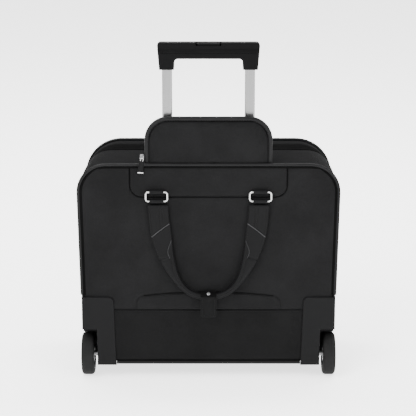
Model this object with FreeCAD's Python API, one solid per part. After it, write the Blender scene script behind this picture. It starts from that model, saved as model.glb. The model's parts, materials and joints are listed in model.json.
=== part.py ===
import FreeCAD, Part
import math
import os
from FreeCAD import Vector

# Rolling laptop case, in millimetres.  +Z is up, +X runs along the width, and -Y is the side that
# carries the wheels and the telescopic handle.  The origin is at floor level under the middle.

# ---------------------------------------------------------------- driving dimensions
DEPTH = 205.0                 # near face to far face of the case
MIDDLE_Y = 0.95               # the keeper in front reaches this much further out than the far handle
NEAR = MIDDLE_Y - DEPTH / 2   # plane of the near face
FAR = MIDDLE_Y + DEPTH / 2    # plane of the far face
HALF_TOP = 208.5              # half width of the gusset at the top
HALF_BASE = 203.6             # half width of the gusset at the bottom
BASE_Z = 30.0
TOP_Z = 361.5
NEAR_CORNER = 43.5            # top corner radius of the near half
FAR_CORNER = 58.0             # top corner radius of the far half
BASE_CORNER = 28.0
WALL = 4.0                    # fabric, foam and lining together
BEZEL = 3.0                   # thickness of the guide plate around the tubes
SKIN = 1.2                    # sewn face panels
PIPING = 2.5                  # piping radius
CLEAR = 0.3                   # free play between pieces that move past each other

ZIP_NEAR = NEAR + 125.0       # where the main half ends
ZIP_MID = NEAR + 137.5        # closing line of the main zip
ZIP_FAR = NEAR + 150.0        # where the cover begins
ZIP_SINK = 4.0                # depth of the zip groove
ZIP_TAPE = 1.5

TUBE_X = 66.5                 # half spacing of the handle tubes
TUBE_Y = NEAR + 30.0
INNER_TUBE = 16.2
MIDDLE_TUBE = 19.2
OUTER_TUBE = 22.2
TUBE_WALL = 1.2
TUBE_CORNER = 3.0
OUTER_BOTTOM = 48.0
MIDDLE_BOTTOM = 50.0
MIDDLE_TOP = 366.0
INNER_BOTTOM = 172.0
INNER_TOP = 532.0
COLLAR_TOP = 376.0

GRIP_TOP = 558.4
GRIP_BOTTOM = 515.4
GRIP_HALF = 82.6
GRIP_FOOT_HALF = 79.0
GRIP_DEPTH = 26.0             # lower part, which holds the tubes
GRIP_NECK = 18.0              # narrower top, above the facets
FACET_LOW = 543.2
FACET_HIGH = 548.7
GRIP_GAP_TOP = 532.4
GRIP_GAP_HALF = 55.2
PARTING_Z = 541.8             # groove that runs round under the facets
SCOOP_Z = 553.2               # the neck is cut down to here in front of the button
BUTTON_HALF_X = 20.0
BUTTON_HALF_Y = 6.6
BUTTON_BASE = 549.0
BUTTON_TOP = 557.4
BUTTON_TRAVEL = 4.0
ROD_BAR_Z = 538.5

WHEEL_R = 35.5
WHEEL_X = 200.5
WHEEL_WIDTH = 21.0
WHEEL_Y = NEAR + 25.0
HUB_R = 24.0
BEARING_R = 11.0
BEARING_WIDTH = 6.0
AXLE_R = 4.0
WELL_X = 176.0                # inner side of the wheel well
WELL_Y = NEAR + 68.0
WELL_TOP = 96.0

GUARD_OUT = 3.0               # how far the guard stands in front of the near face
GUARD_TOP = 142.0
GUARD_NOTCH = 86.0
GUARD_BOTTOM = 24.0
GUARD_OUTER_X = 208.6
GUARD_LEG_X = 184.0

FLAP_HALF = 103.0             # raised garage flap in front of the handle
FLAP_TOP = 441.6
FLAP_CORNER = 38.0
FLAP_FRONT = NEAR + 4.2
FLAP_BACK = NEAR + 13.0
BINDING = 6.5

RING_X = 84.0
RING_TOP_BAR = 320.2
RING_LOW_BAR = 305.0
RING_HALF = 17.4              # half width of the ring's centre line
RING_WIRE = 1.6
RING_OUT = 5.0                # ring axis in front of the face
LOOP_HALF = 11.5              # half width of the loops on the ring bars
HANDLE_OUT = 10.0             # grip centre in front of the face
HANDLE_BOTTOM = 145.5
GRIP_R = 5.6


# ---------------------------------------------------------------- general shapes
def box(x0, x1, y0, y1, z0, z1):
    return Part.makeBox(x1 - x0, y1 - y0, z1 - z0, Vector(x0, y0, z0))


def rod(radius, start, end):
    run = end - start
    return Part.makeCylinder(radius, run.Length, start, run)


def prism(points, y0, y1):
    """A polygon given as (x, z) pairs, carried from y0 to y1."""
    corners = [Vector(x, y0, z) for x, z in points]
    face = Part.Face(Part.makePolygon(corners + corners[:1]))
    return face.extrude(Vector(0, y1 - y0, 0))


def edges_along(shape, axis, test):
    """Straight edges parallel to an axis whose middle passes the test."""
    chosen = []
    for edge in shape.Edges:
        if len(edge.Vertexes) != 2:
            continue
        run = edge.Vertexes[1].Point - edge.Vertexes[0].Point
        if run.Length > 0 and abs(run.normalize().dot(axis)) > 0.999 and test(edge.CenterOfMass):
            chosen.append(edge)
    return chosen


def round_corners(shape, radius, test, axis=Vector(0, 1, 0)):
    return shape.makeFillet(radius, edges_along(shape, axis, test))


def union(shapes):
    return shapes[0].multiFuse(shapes[1:]).removeSplitter()


def both_sides(shape):
    """The shape and its mirror image across the middle plane."""
    return [shape, shape.mirror(Vector(0, 0, 0), Vector(1, 0, 0))]


def group(shapes):
    return Part.makeCompound(shapes)


def square_bar(side, corner, x, y, z0, z1):
    """A square bar with rounded long edges, standing at x, y."""
    half = side / 2
    bar = box(x - half, x + half, y - half, y + half, z0, z1)
    return round_corners(bar, corner, lambda p: True, Vector(0, 0, 1))


def square_tube(side, x, z0, z1):
    outer = square_bar(side, TUBE_CORNER, x, TUBE_Y, z0, z1)
    bore = square_bar(side - 2 * TUBE_WALL, TUBE_CORNER - TUBE_WALL, x, TUBE_Y, z0 - 1, z1 + 1)
    return outer.cut(bore)


# ---------------------------------------------------------------- case outline
def half_width(z):
    """Half width of the gusset at a height; the case narrows a little towards its base."""
    return HALF_BASE + (HALF_TOP - HALF_BASE) * (z - BASE_Z) / (TOP_Z - BASE_Z)


def case_block(y0, y1, inset, top_corner):
    """The case outline moved inwards by inset, carried from y0 to y1."""
    low = BASE_Z + inset
    high = TOP_Z - inset
    wide_low = half_width(low) - inset
    wide_high = half_width(high) - inset
    block = prism([(-wide_low, low), (wide_low, low), (wide_high, high), (-wide_high, high)], y0, y1)
    block = round_corners(block, top_corner - inset, lambda p: p.z > TOP_Z / 2)
    return round_corners(block, BASE_CORNER - inset, lambda p: p.z < TOP_Z / 2)


def rim(block, y):
    """Outer wire of the block's flat face in the plane y."""
    faces = [f for f in block.Faces if abs(f.CenterOfMass.y - y) < 0.01 and f.Surface.isPlanar()]
    return max(faces, key=lambda f: f.Area).OuterWire


def swept_round(path, radius):
    """A round bar along a wire."""
    edge = path.Edges[0]
    start = edge.valueAt(edge.FirstParameter)
    direction = edge.tangentAt(edge.FirstParameter)
    section = Part.Wire(Part.makeCircle(radius, start, direction))
    swept = path.makePipeShell([section], True, False)
    return Part.Solid(Part.Shell(swept.Faces)) if swept.ShapeType != "Solid" else swept


def wheel_wells(grow):
    """The two corner spaces that the wheels and guards take out of the case."""
    well = box(WELL_X - grow, HALF_TOP + 10, NEAR - 10, WELL_Y + grow, 0, WELL_TOP + grow)
    return both_sides(well)


# ---------------------------------------------------------------- main half
def main_shell():
    front = NEAR + SKIN
    outer = case_block(front, ZIP_NEAR, 0, NEAR_CORNER).cut(group(wheel_wells(0)))
    cavity = case_block(front + WALL, ZIP_NEAR + 1, WALL, NEAR_CORNER).cut(group(wheel_wells(WALL)))
    strip = case_block(ZIP_NEAR, ZIP_FAR - 0.5, 0, NEAR_CORNER)
    strip = strip.cut(case_block(ZIP_NEAR - 1, ZIP_FAR, WALL, NEAR_CORNER))
    above = box(-HALF_TOP - 1, HALF_TOP + 1, ZIP_NEAR - 1, ZIP_FAR, BASE_Z + 21.5, TOP_Z + 1)
    shell = union([outer.cut(cavity), strip.cut(above)])
    hole = OUTER_TUBE + 2 * CLEAR
    for side in (-1, 1):
        shell = shell.cut(square_bar(hole, TUBE_CORNER, side * TUBE_X, TUBE_Y, TOP_Z - 10, TOP_Z + 1))
    return shell.cut(screw_holes())


def zip_band(y0, y1, top_corner):
    """One tape of the main zip: a thin band around the top and the sides, sunk in its groove."""
    outer = case_block(y0, y1, ZIP_SINK, top_corner)
    inner = case_block(y0 - 1, y1 + 1, ZIP_SINK + ZIP_TAPE, top_corner)
    below = box(-HALF_TOP - 1, HALF_TOP + 1, y0 - 1, y1 + 1, 0, BASE_Z + 22)
    return outer.cut(inner).cut(below)


def yoke_prism():
    half = 128.0
    low = 311.0
    block = box(-half, half, NEAR - 1, NEAR + SKIN + 1, low, TOP_Z + 1)
    return round_corners(block, 19.0, lambda p: p.z < low + 1)


def patch_prism(seam_z):
    """Reinforcement under the carry handle: steep sides, round shoulders and a shallow arched top."""
    base_half = 119.5
    shoulder = Vector(115, NEAR - 1, seam_z + 22)
    crown = Vector(0, NEAR - 1, seam_z + 30)
    left_shoulder = Vector(-shoulder.x, shoulder.y, shoulder.z)
    left_base = Vector(-base_half, NEAR - 1, seam_z)
    right_base = Vector(base_half, NEAR - 1, seam_z)
    edges = [
        Part.makeLine(right_base, shoulder),
        Part.Arc(shoulder, crown, left_shoulder).toShape(),
        Part.makeLine(left_shoulder, left_base),
        Part.makeLine(left_base, right_base),
    ]
    patch = Part.Face(Part.Wire(edges)).extrude(Vector(0, SKIN + 2, 0))
    return round_corners(patch, 12.0, lambda p: p.z > seam_z + 15)


def near_face_panels():
    """The near face is sewn from four panels that meet edge to edge."""
    seam_z = 120.0
    face = case_block(NEAR, NEAR + SKIN, 0, NEAR_CORNER).cut(group(wheel_wells(0)))
    wide = HALF_TOP + 10
    kick = face.common(box(-wide, wide, NEAR - 1, NEAR + SKIN + 1, 0, seam_z))
    yoke = face.common(yoke_prism())
    patch = face.common(patch_prism(seam_z))
    panel = face.cut(kick).cut(yoke).cut(patch)
    return {
        "near_panel": panel,
        "near_yoke": yoke,
        "near_arch_patch": patch,
        "near_kick_panel": kick,
    }


def near_piping():
    """Piping around the near face, left out where the corner guards cover the edge."""
    y = NEAR + 1.5
    block = case_block(y, y + 1, -PIPING, NEAR_CORNER)
    ring = swept_round(rim(block, y), PIPING)
    guard_zone = box(152.4, 230, NEAR - 10, NEAR + 20, 0, GUARD_TOP + 1)
    return ring.cut(group(both_sides(guard_zone)))


def frame_board():
    """Stiff board behind the tubes; the bracket is riveted to it."""
    y0 = NEAR + 44.0
    board = box(-165, 165, y0, y0 + 2, 100, 350)
    tongue = box(-120, 120, y0, y0 + 2, BASE_Z + WALL + 1, 100)
    board = union([board, tongue])
    board = round_corners(board, 20.0, lambda p: p.z > 340)
    return board.cut(screw_holes())


def screw_places():
    """Head seat and direction of each case screw: four in the bezel and four in the bracket."""
    down = [(Vector(side * x, NEAR + 30.0, TOP_Z + BEZEL), Vector(0, 0, -1))
            for side in (-1, 1) for x in (36.0, 87.0)]
    forward = [(Vector(x, NEAR + 46.0, 41.0), Vector(0, -1, 0)) for x in (-80.0, -27.0, 27.0, 80.0)]
    return down + forward


def screw_holes():
    return group([rod(2.1, seat - run, seat + run * 9) for seat, run in screw_places()])


def case_screws():
    """Cross-head screws: a low round head on the seat and a shank beyond it."""
    screws = []
    for seat, run in screw_places():
        across = Vector(1, 0, 0)
        upright = run.cross(across)
        head = rod(3.9, seat, seat - run * 1.6)
        shank = rod(2.0, seat - run * 0.5, seat + run * 7)
        screw = head.fuse(shank)
        for arm in (across, upright):
            screw = screw.cut(rod(0.5, seat - run * 1.6 - arm * 2, seat - run * 1.6 + arm * 2))
        screws.append(screw.removeSplitter())
    return group(screws)


def tube_bracket():
    """Moulded foot that joins the two outer tubes at the bottom."""
    block = box(-92, 92, NEAR + 16, NEAR + 43.9, BASE_Z + WALL + 0.5, OUTER_BOTTOM)
    block = round_corners(block, 3.0, lambda p: True, Vector(0, 0, 1))
    return block.cut(screw_holes())


def laptop_sleeve():
    """Padded pocket open at the top, standing behind the frame board."""
    y0 = NEAR + 50.0
    half = 190.0
    depth = 38.0
    pad = 3.0
    low = WELL_TOP + WALL + 2
    outer = box(-half, half, y0, y0 + depth, low, 300)
    foot = box(-165, 165, y0 + depth - pad, y0 + depth, BASE_Z + WALL + 0.5, low + 1)
    pocket = box(-half + pad, half - pad, y0 + pad, y0 + depth - pad, low + pad, 301)
    return union([outer, foot]).cut(pocket)


def base_tray():
    """Moulded skid under the case; it carries the feet."""
    tray = box(-150, 150, NEAR + 75, NEAR + 198, BASE_Z - 7, BASE_Z - 0.5)
    tray = round_corners(tray, 12.0, lambda p: True, Vector(0, 0, 1))
    pad = box(-140, 140, NEAR + 80, NEAR + 120, BASE_Z - 1, BASE_Z)
    return union([tray, pad])


def feet():
    foot = box(118, 146, NEAR + 160, NEAR + 192, 0, BASE_Z - 7)
    foot = round_corners(foot, 8.0, lambda p: True, Vector(0, 0, 1))
    low_edges = [e for e in foot.Edges if e.CenterOfMass.z < 0.1]
    return group(both_sides(foot.makeFillet(3.0, low_edges)))


# ---------------------------------------------------------------- garage for the retracted grip
def flap_block(y0, y1, inset):
    half = FLAP_HALF - inset
    block = box(-half, half, y0, y1, TOP_Z + 0.2, FLAP_TOP - inset)
    return round_corners(block, FLAP_CORNER - inset, lambda p: p.z > FLAP_TOP - 20)


def garage_flap():
    return flap_block(FLAP_FRONT, FLAP_BACK, BINDING)


def garage_binding():
    band = flap_block(FLAP_FRONT + 0.5, FLAP_BACK - 1, 0)
    return band.cut(flap_block(FLAP_FRONT - 1, FLAP_BACK + 1, BINDING))


def garage_zip_tape():
    band = flap_block(FLAP_BACK, FLAP_BACK + 1.5, 1.0)
    return band.cut(flap_block(FLAP_BACK - 1, FLAP_BACK + 3, 1.0 + 9.0))


def rear_flap():
    """The other half of the garage, folded back flat on the top of the case."""
    y0 = NEAR + 49.0
    flap = box(-100, 100, y0, y0 + 73, TOP_Z + 0.5, TOP_Z + 5)
    return round_corners(flap, FLAP_CORNER, lambda p: p.y > y0 + 40, Vector(0, 0, 1))


def trolley_bezel():
    """Moulded guide plate on the top gusset that the tubes slide through."""
    plate = box(-93, 93, NEAR + 15.5, NEAR + 43.4, TOP_Z, TOP_Z + BEZEL)
    plate = round_corners(plate, 8.0, lambda p: True, Vector(0, 0, 1))
    hole = MIDDLE_TUBE + 2 * CLEAR
    for side in (-1, 1):
        plate = plate.cut(square_bar(hole, TUBE_CORNER, side * TUBE_X, TUBE_Y, TOP_Z - 1, TOP_Z + 5))
    return plate.cut(screw_holes())


# ---------------------------------------------------------------- telescopic handle
def middle_tube(x):
    """Middle stage, with a stop hole in its far wall where the lock pin rests."""
    tube = square_tube(MIDDLE_TUBE, x, MIDDLE_BOTTOM, MIDDLE_TOP)
    for z in (62.0, 182.0, 322.0):
        tube = tube.cut(rod(2.6, Vector(x, TUBE_Y + 5, z), Vector(x, TUBE_Y + 15, z)))
    return tube


def inner_tube(x):
    tube = square_tube(INNER_TUBE, x, INNER_BOTTOM, INNER_TOP)
    z = INNER_BOTTOM + 10
    return tube.cut(rod(2.3, Vector(x, TUBE_Y + 4, z), Vector(x, TUBE_Y + 15, z)))


def middle_collars():
    """Plastic collars that cap the middle tubes."""
    collars = []
    for side in (-1, 1):
        x = side * TUBE_X
        collar = square_bar(MIDDLE_TUBE + 3, 4.0, x, TUBE_Y, MIDDLE_TOP, COLLAR_TOP)
        hole = square_bar(INNER_TUBE + 2 * CLEAR, TUBE_CORNER, x, TUBE_Y, MIDDLE_TOP - 1, COLLAR_TOP + 1)
        collars.append(collar.cut(hole))
    return group(collars)


def grip_arch(depth):
    """Arch of the grip, with softened rims: a top bar on two legs that splay slightly upwards."""
    y0 = TUBE_Y - depth / 2
    y1 = TUBE_Y + depth / 2
    arch = prism([(-GRIP_FOOT_HALF, GRIP_BOTTOM), (GRIP_FOOT_HALF, GRIP_BOTTOM),
                  (GRIP_HALF, GRIP_TOP), (-GRIP_HALF, GRIP_TOP)], y0, y1)
    arch = round_corners(arch, 5.5, lambda p: p.z > GRIP_TOP - 1)
    gap = prism([(-GRIP_GAP_HALF, GRIP_BOTTOM - 1), (GRIP_GAP_HALF, GRIP_BOTTOM - 1),
                 (GRIP_GAP_HALF - 1, GRIP_GAP_TOP), (1 - GRIP_GAP_HALF, GRIP_GAP_TOP)], y0 - 1, y1 + 1)
    gap = round_corners(gap, 5.5, lambda p: p.z > GRIP_GAP_TOP - 1)
    arch = arch.cut(gap)
    rims = rim_edges(arch, y0) + rim_edges(arch, y1)
    return arch.makeFillet(3.6 if depth == GRIP_DEPTH else 2.4, rims)


def grip_body():
    """Deep lower part, facets on both faces and the narrower top above them."""
    deep = GRIP_DEPTH / 2
    thin = GRIP_NECK / 2
    section = [(-deep, GRIP_BOTTOM - 1), (deep, GRIP_BOTTOM - 1), (deep, FACET_LOW),
               (thin, FACET_HIGH), (-thin, FACET_HIGH), (-deep, FACET_LOW)]
    corners = [Vector(-100, TUBE_Y + y, z) for y, z in section]
    lower = Part.Face(Part.makePolygon(corners + corners[:1])).extrude(Vector(200, 0, 0))
    upper = box(-100, 100, TUBE_Y - thin - 1, TUBE_Y + thin + 1, FACET_HIGH, GRIP_TOP + 1)
    body = union([grip_arch(GRIP_DEPTH).common(lower), grip_arch(GRIP_NECK).common(upper)])
    for y in (TUBE_Y - deep, TUBE_Y + deep):
        body = body.cut(box(-76, 76, y - 0.7, y + 0.7, PARTING_Z - 0.5, PARTING_Z + 0.5))
    return body


def grip_hollows():
    """Spaces inside the grip for the tubes, the button and the push rods."""
    cuts = []
    for side in (-1, 1):
        x = side * TUBE_X
        cuts.append(square_bar(INNER_TUBE, TUBE_CORNER, x, TUBE_Y, GRIP_BOTTOM - 1, INNER_TOP))
        cuts.append(rod(2.8, Vector(x, TUBE_Y, INNER_TOP - 1), Vector(x, TUBE_Y, ROD_BAR_Z)))
    cuts.append(box(-72, 72, TUBE_Y - 3.5, TUBE_Y + 3.5, ROD_BAR_Z - 4.8, 545.5))
    pocket = box(-BUTTON_HALF_X - 0.5, BUTTON_HALF_X + 0.5, TUBE_Y - BUTTON_HALF_Y - 0.5,
                 TUBE_Y + BUTTON_HALF_Y + 0.5, BUTTON_BASE - BUTTON_TRAVEL - 0.5, GRIP_TOP + 5)
    cuts.append(round_corners(pocket, 4.0, lambda p: True, Vector(0, 0, 1)))
    cuts.append(box(-BUTTON_HALF_X - 0.5, BUTTON_HALF_X + 0.5, TUBE_Y - GRIP_DEPTH / 2,
                    TUBE_Y, SCOOP_Z, GRIP_TOP + 5))
    for x in grip_screw_places():
        cuts.append(rod(2.6, Vector(x, TUBE_Y + 6, 536), Vector(x, TUBE_Y + 20, 536)))
    return group(cuts)


def grip_screw_places():
    return [-46.0, 46.0]


def grip_shell(front):
    """Half of the grip, split along the middle plane of the tubes."""
    y0 = TUBE_Y - 20 if front else TUBE_Y
    half = box(-100, 100, y0, y0 + 20, GRIP_BOTTOM - 5, GRIP_TOP + 5)
    return grip_body().common(half).cut(grip_hollows())


def rim_edges(shape, y):
    """Edges of the flat face in the plane y, apart from the feet of the legs."""
    found = []
    for edge in shape.Edges:
        centre = edge.CenterOfMass
        if all(abs(v.Point.y - y) < 0.01 for v in edge.Vertexes) and centre.z > GRIP_BOTTOM + 1:
            found.append(edge)
    return found


def grip_screws():
    screws = []
    for x in grip_screw_places():
        screw = rod(2.5, Vector(x, TUBE_Y + 7, 536), Vector(x, TUBE_Y + 11.5, 536))
        slot = box(x - 1.8, x + 1.8, TUBE_Y + 10.8, TUBE_Y + 12, 535.6, 536.4)
        cross = box(x - 0.4, x + 0.4, TUBE_Y + 10.8, TUBE_Y + 12, 534.2, 537.8)
        screws.append(screw.cut(slot).cut(cross))
    return group(screws)


def release_button():
    button = box(-BUTTON_HALF_X, BUTTON_HALF_X, TUBE_Y - BUTTON_HALF_Y, TUBE_Y + BUTTON_HALF_Y,
                 BUTTON_BASE, BUTTON_TOP)
    button = round_corners(button, 4.0, lambda p: True, Vector(0, 0, 1))
    top_edges = [e for e in button.Edges if e.CenterOfMass.z > BUTTON_TOP - 0.1]
    button = button.makeFillet(1.5, top_edges)
    bore = rod(5.6, Vector(0, TUBE_Y, BUTTON_BASE - 1), Vector(0, TUBE_Y, BUTTON_BASE + 6))
    return button.cut(bore)


def push_rods():
    """Cross bar under the button, with a post into it and a rod down each inner tube."""
    bar = box(-TUBE_X - 2, TUBE_X + 2, TUBE_Y - 2.5, TUBE_Y + 2.5, ROD_BAR_Z, ROD_BAR_Z + 3)
    post = rod(3.0, Vector(0, TUBE_Y, ROD_BAR_Z + 1), Vector(0, TUBE_Y, BUTTON_BASE + 6))
    pieces = [bar, post]
    for side in (-1, 1):
        x = side * TUBE_X
        pieces.append(rod(2.0, Vector(x, TUBE_Y, INNER_BOTTOM + 18), Vector(x, TUBE_Y, ROD_BAR_Z + 1)))
    return union(pieces)


def button_spring():
    """Coil spring around the post, drawn as its closed turns."""
    low = BUTTON_BASE - BUTTON_TRAVEL - 0.5
    turns = 5
    pitch = 1.1
    wire = 0.45
    rings = [Part.makeTorus(4.4, wire, Vector(0, TUBE_Y, low + wire + i * pitch)) for i in range(turns)]
    spine = rod(0.3, Vector(0, TUBE_Y + 4.4, low + wire), Vector(0, TUBE_Y + 4.4, low + wire + (turns - 1) * pitch))
    return union(rings + [spine])


def lock_pins():
    """Cross pins at the foot of the inner tubes, level with the tube's outside."""
    z = INNER_BOTTOM + 10
    reach = INNER_TUBE / 2
    pins = [rod(2.0, Vector(s * TUBE_X, TUBE_Y - 4, z), Vector(s * TUBE_X, TUBE_Y + reach, z)) for s in (-1, 1)]
    return group(pins)


# ---------------------------------------------------------------- wheels and guards
def around_axle(radius, x0, x1):
    return rod(radius, Vector(x0, WHEEL_Y, WHEEL_R), Vector(x1, WHEEL_Y, WHEEL_R))


def corner_guard():
    """Right-hand guard: face plate, wheel arch and the wall that holds the axle."""
    y0 = NEAR - GUARD_OUT
    plate = prism([(152.5, GUARD_BOTTOM), (GUARD_LEG_X, GUARD_BOTTOM), (GUARD_LEG_X, GUARD_NOTCH),
                   (GUARD_OUTER_X, GUARD_NOTCH), (GUARD_OUTER_X, GUARD_TOP), (156, GUARD_TOP)], y0, NEAR)
    plate = round_corners(plate, 9.0, lambda p: p.z > GUARD_TOP - 1 and p.x < 170)
    front_edges = [e for e in plate.Edges if all(abs(v.Point.y - y0) < 0.01 for v in e.Vertexes)]
    plate = plate.makeFillet(1.6, front_edges)
    block = box(WELL_X, GUARD_OUTER_X, NEAR, WELL_Y, GUARD_BOTTOM, WELL_TOP)
    block = round_corners(block, 10.0, lambda p: p.y > NEAR + 10 and p.z < 40, Vector(1, 0, 0))
    swing = around_axle(WHEEL_R + 2.5, 186, 230)
    drop = box(186, 230, WHEEL_Y - WHEEL_R - 2.5, WHEEL_Y + WHEEL_R + 2.5, 0, WHEEL_R)
    mouth = box(GUARD_LEG_X, 230, NEAR - 20, WHEEL_Y, 0, GUARD_NOTCH)
    block = block.cut(swing).cut(drop).cut(mouth)
    cheek = box(GUARD_OUTER_X - 2, GUARD_OUTER_X, NEAR, NEAR + 45, WELL_TOP, GUARD_TOP)
    cheek = round_corners(cheek, 12.0, lambda p: p.y > NEAR + 10 and p.z > GUARD_TOP - 1, Vector(1, 0, 0))
    guard = union([plate, block, cheek])
    return guard.cut(around_axle(AXLE_R, WELL_X - 1, 190))


def wheel_tyre(side):
    """Soft tread with rounded shoulders."""
    x0 = side * (WHEEL_X - WHEEL_WIDTH / 2)
    x1 = side * (WHEEL_X + WHEEL_WIDTH / 2)
    tyre = around_axle(WHEEL_R, x0, x1)
    rims = [e for e in tyre.Edges if len(e.Vertexes) == 1 and abs(e.Length - 2 * math.pi * WHEEL_R) < 1]
    tyre = tyre.makeFillet(5.5, rims)
    return tyre.cut(around_axle(HUB_R, side * 180, side * 220))


def wheel_hub(side):
    """Moulded hub: a thin web between the rim and the bearing boss, stiffened by ribs."""
    half = WHEEL_WIDTH / 2
    web_half = 2.0
    hub = around_axle(HUB_R, side * (WHEEL_X - half + 1), side * (WHEEL_X + half - 1))
    ring = around_axle(HUB_R - 3, side * 180, side * 220).cut(around_axle(BEARING_R + 3, side * 170, side * 230))
    for x0, x1 in ((WHEEL_X - 20, WHEEL_X - web_half), (WHEEL_X + web_half, WHEEL_X + 20)):
        zone = box(min(side * x0, side * x1), max(side * x0, side * x1), WHEEL_Y - 40, WHEEL_Y + 40, -10, 90)
        hub = hub.cut(ring.common(zone))
    ribs = []
    count = 6
    for i in range(count):
        rib = box(-1.2, 1.2, -half + 2.5, half - 2.5, BEARING_R + 2, HUB_R - 2)
        rib.rotate(Vector(0, 0, 0), Vector(0, 0, 1), 90)
        rib.rotate(Vector(0, 0, 0), Vector(1, 0, 0), 360.0 * i / count)
        rib.translate(Vector(side * WHEEL_X, WHEEL_Y, WHEEL_R))
        ribs.append(rib)
    hub = union([hub] + ribs)
    hub = hub.cut(around_axle(AXLE_R + 1, side * 180, side * 220))
    for x0 in (WHEEL_X - half + 1, WHEEL_X + half - 1 - BEARING_WIDTH):
        hub = hub.cut(around_axle(BEARING_R, side * x0, side * (x0 + BEARING_WIDTH)))
    return hub


def wheel_bearings(side):
    """Two sealed ball bearings, one in each end of the hub."""
    half = WHEEL_WIDTH / 2
    bearings = []
    for x0 in (WHEEL_X - half + 1, WHEEL_X + half - 1 - BEARING_WIDTH):
        ring = around_axle(BEARING_R, side * x0, side * (x0 + BEARING_WIDTH))
        groove = around_axle(BEARING_R - 2, side * (x0 - 1), side * (x0 + 0.5))
        groove = groove.cut(around_axle(AXLE_R + 2, side * (x0 - 2), side * (x0 + 1)))
        ring = ring.cut(groove)
        bearings.append(ring.cut(around_axle(AXLE_R + 0.05, side * (x0 - 1), side * (x0 + BEARING_WIDTH + 1))))
    return group(bearings)


def wheel_axles():
    """Pressed axle pins with a domed outer head."""
    axles = []
    for side in (-1, 1):
        pin = around_axle(AXLE_R, side * (WELL_X + 0.5), side * (WHEEL_X + WHEEL_WIDTH / 2))
        head = around_axle(6.5, side * (WHEEL_X + WHEEL_WIDTH / 2 - 0.6), side * (WHEEL_X + WHEEL_WIDTH / 2 + 1.4))
        axles.append(union([pin, head]))
    return group(axles)


# ---------------------------------------------------------------- carry handles
def on_face(shape, far):
    """Shapes are drawn for the near face; the far face gets the mirror image."""
    return shape.mirror(Vector(0, MIDDLE_Y, 0), Vector(0, 1, 0)) if far else shape


def ring_anchors(far):
    """Fabric loops sewn to the face, each holding the top bar of a ring."""
    y = NEAR - RING_OUT
    anchors = []
    for side in (-1, 1):
        x = side * RING_X
        loop = rod(3.6, Vector(x - LOOP_HALF, y, RING_TOP_BAR), Vector(x + LOOP_HALF, y, RING_TOP_BAR))
        tab = box(x - LOOP_HALF, x + LOOP_HALF, NEAR - 3.4, NEAR - 0.05, RING_TOP_BAR + 1, RING_TOP_BAR + 14)
        bore = rod(RING_WIRE + CLEAR, Vector(x - 20, y, RING_TOP_BAR), Vector(x + 20, y, RING_TOP_BAR))
        anchors.append(union([loop, tab]).cut(bore))
    return on_face(group(anchors), far)


def rings(far):
    """Wire rings, rounded oblongs."""
    y = NEAR - RING_OUT
    made = []
    for side in (-1, 1):
        x = side * RING_X
        plate = box(x - RING_HALF, x + RING_HALF, y, y + 1, RING_LOW_BAR, RING_TOP_BAR)
        plate = round_corners(plate, 4.0, lambda p: True)
        made.append(swept_round(rim(plate, y), RING_WIRE))
    return on_face(group(made), far)


def handle_line(t):
    """Centre line of the right half of a carry handle: t runs from 0 at the ring to 1 at the bottom.

    It returns x, the height, the distance in front of the face, and the half width and half
    thickness of the section.  The strap is flat and wide at the ring and rolls into a round grip.
    """
    half_span = 81.5
    drop = 299.0 - HANDLE_BOTTOM
    angle = t * math.pi / 2
    x = half_span * math.cos(angle) ** 0.78
    z = HANDLE_BOTTOM + drop * (1 - math.sin(angle) ** 1.15)
    rolled = min(1.0, max(0.0, (t - 0.18) / 0.55))
    smooth = rolled * rolled * (3 - 2 * rolled)
    out = RING_OUT + (HANDLE_OUT - RING_OUT) * smooth
    half_wide = 16.8 + (GRIP_R - 16.8) * smooth
    half_thick = 1.6 + (GRIP_R - 1.6) * smooth
    return x, z, out, half_wide, half_thick


def handle_section(x, z, out, half_wide, half_thick, direction):
    """Elliptical section across the handle; direction is the run of the centre line in x and z."""
    centre = Vector(x, NEAR - out, z)
    across = Vector(direction.z, 0, -direction.x).normalize()
    if half_wide >= half_thick:
        ellipse = Part.Ellipse(centre + across * half_wide, centre + Vector(0, half_thick, 0), centre)
        return Part.Wire(ellipse.toShape())
    return Part.Wire(Part.makeCircle(half_wide, centre, direction))


def handle_run(t0, t1, count, side):
    """Lofted stretch of one half of a handle between two places on its centre line."""
    sections = []
    for i in range(count):
        t = t0 + (t1 - t0) * i / (count - 1)
        x, z, out, half_wide, half_thick = handle_line(t)
        ahead = handle_line(min(1.0, t + 0.01))
        behind = handle_line(max(0.0, t - 0.01))
        direction = Vector(side * (ahead[0] - behind[0]), 0, ahead[1] - behind[1]).normalize()
        if t >= 1.0:
            direction = Vector(-side, 0, 0)
        sections.append(handle_section(side * x, z, out, half_wide, half_thick + 0.001, direction))
    return Part.makeLoft(sections, True, False)


WRAP_START = 0.42             # where the folded grip begins on the centre line


def handle_strap(far):
    """The two flat legs of a handle, each with the loop that holds the ring's low bar."""
    y = NEAR - RING_OUT
    legs = []
    for side in (-1, 1):
        x = side * RING_X
        leg = handle_run(0.0, WRAP_START, 7, side)
        loop = rod(3.5, Vector(x - LOOP_HALF, y, RING_LOW_BAR), Vector(x + LOOP_HALF, y, RING_LOW_BAR))
        neck = box(x - LOOP_HALF, x + LOOP_HALF, y - 1.2, y + 1.2, RING_LOW_BAR - 9, RING_LOW_BAR - 1)
        bore = rod(RING_WIRE + CLEAR, Vector(x - 30, y, RING_LOW_BAR), Vector(x + 30, y, RING_LOW_BAR))
        legs.append(union([leg, loop, neck]).cut(bore))
    return on_face(group(legs), far)


def handle_grip(far):
    """The rolled grip in the middle of a handle."""
    halves = [handle_run(WRAP_START, 1.0, 9, side) for side in (-1, 1)]
    return on_face(union(halves), far)


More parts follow.
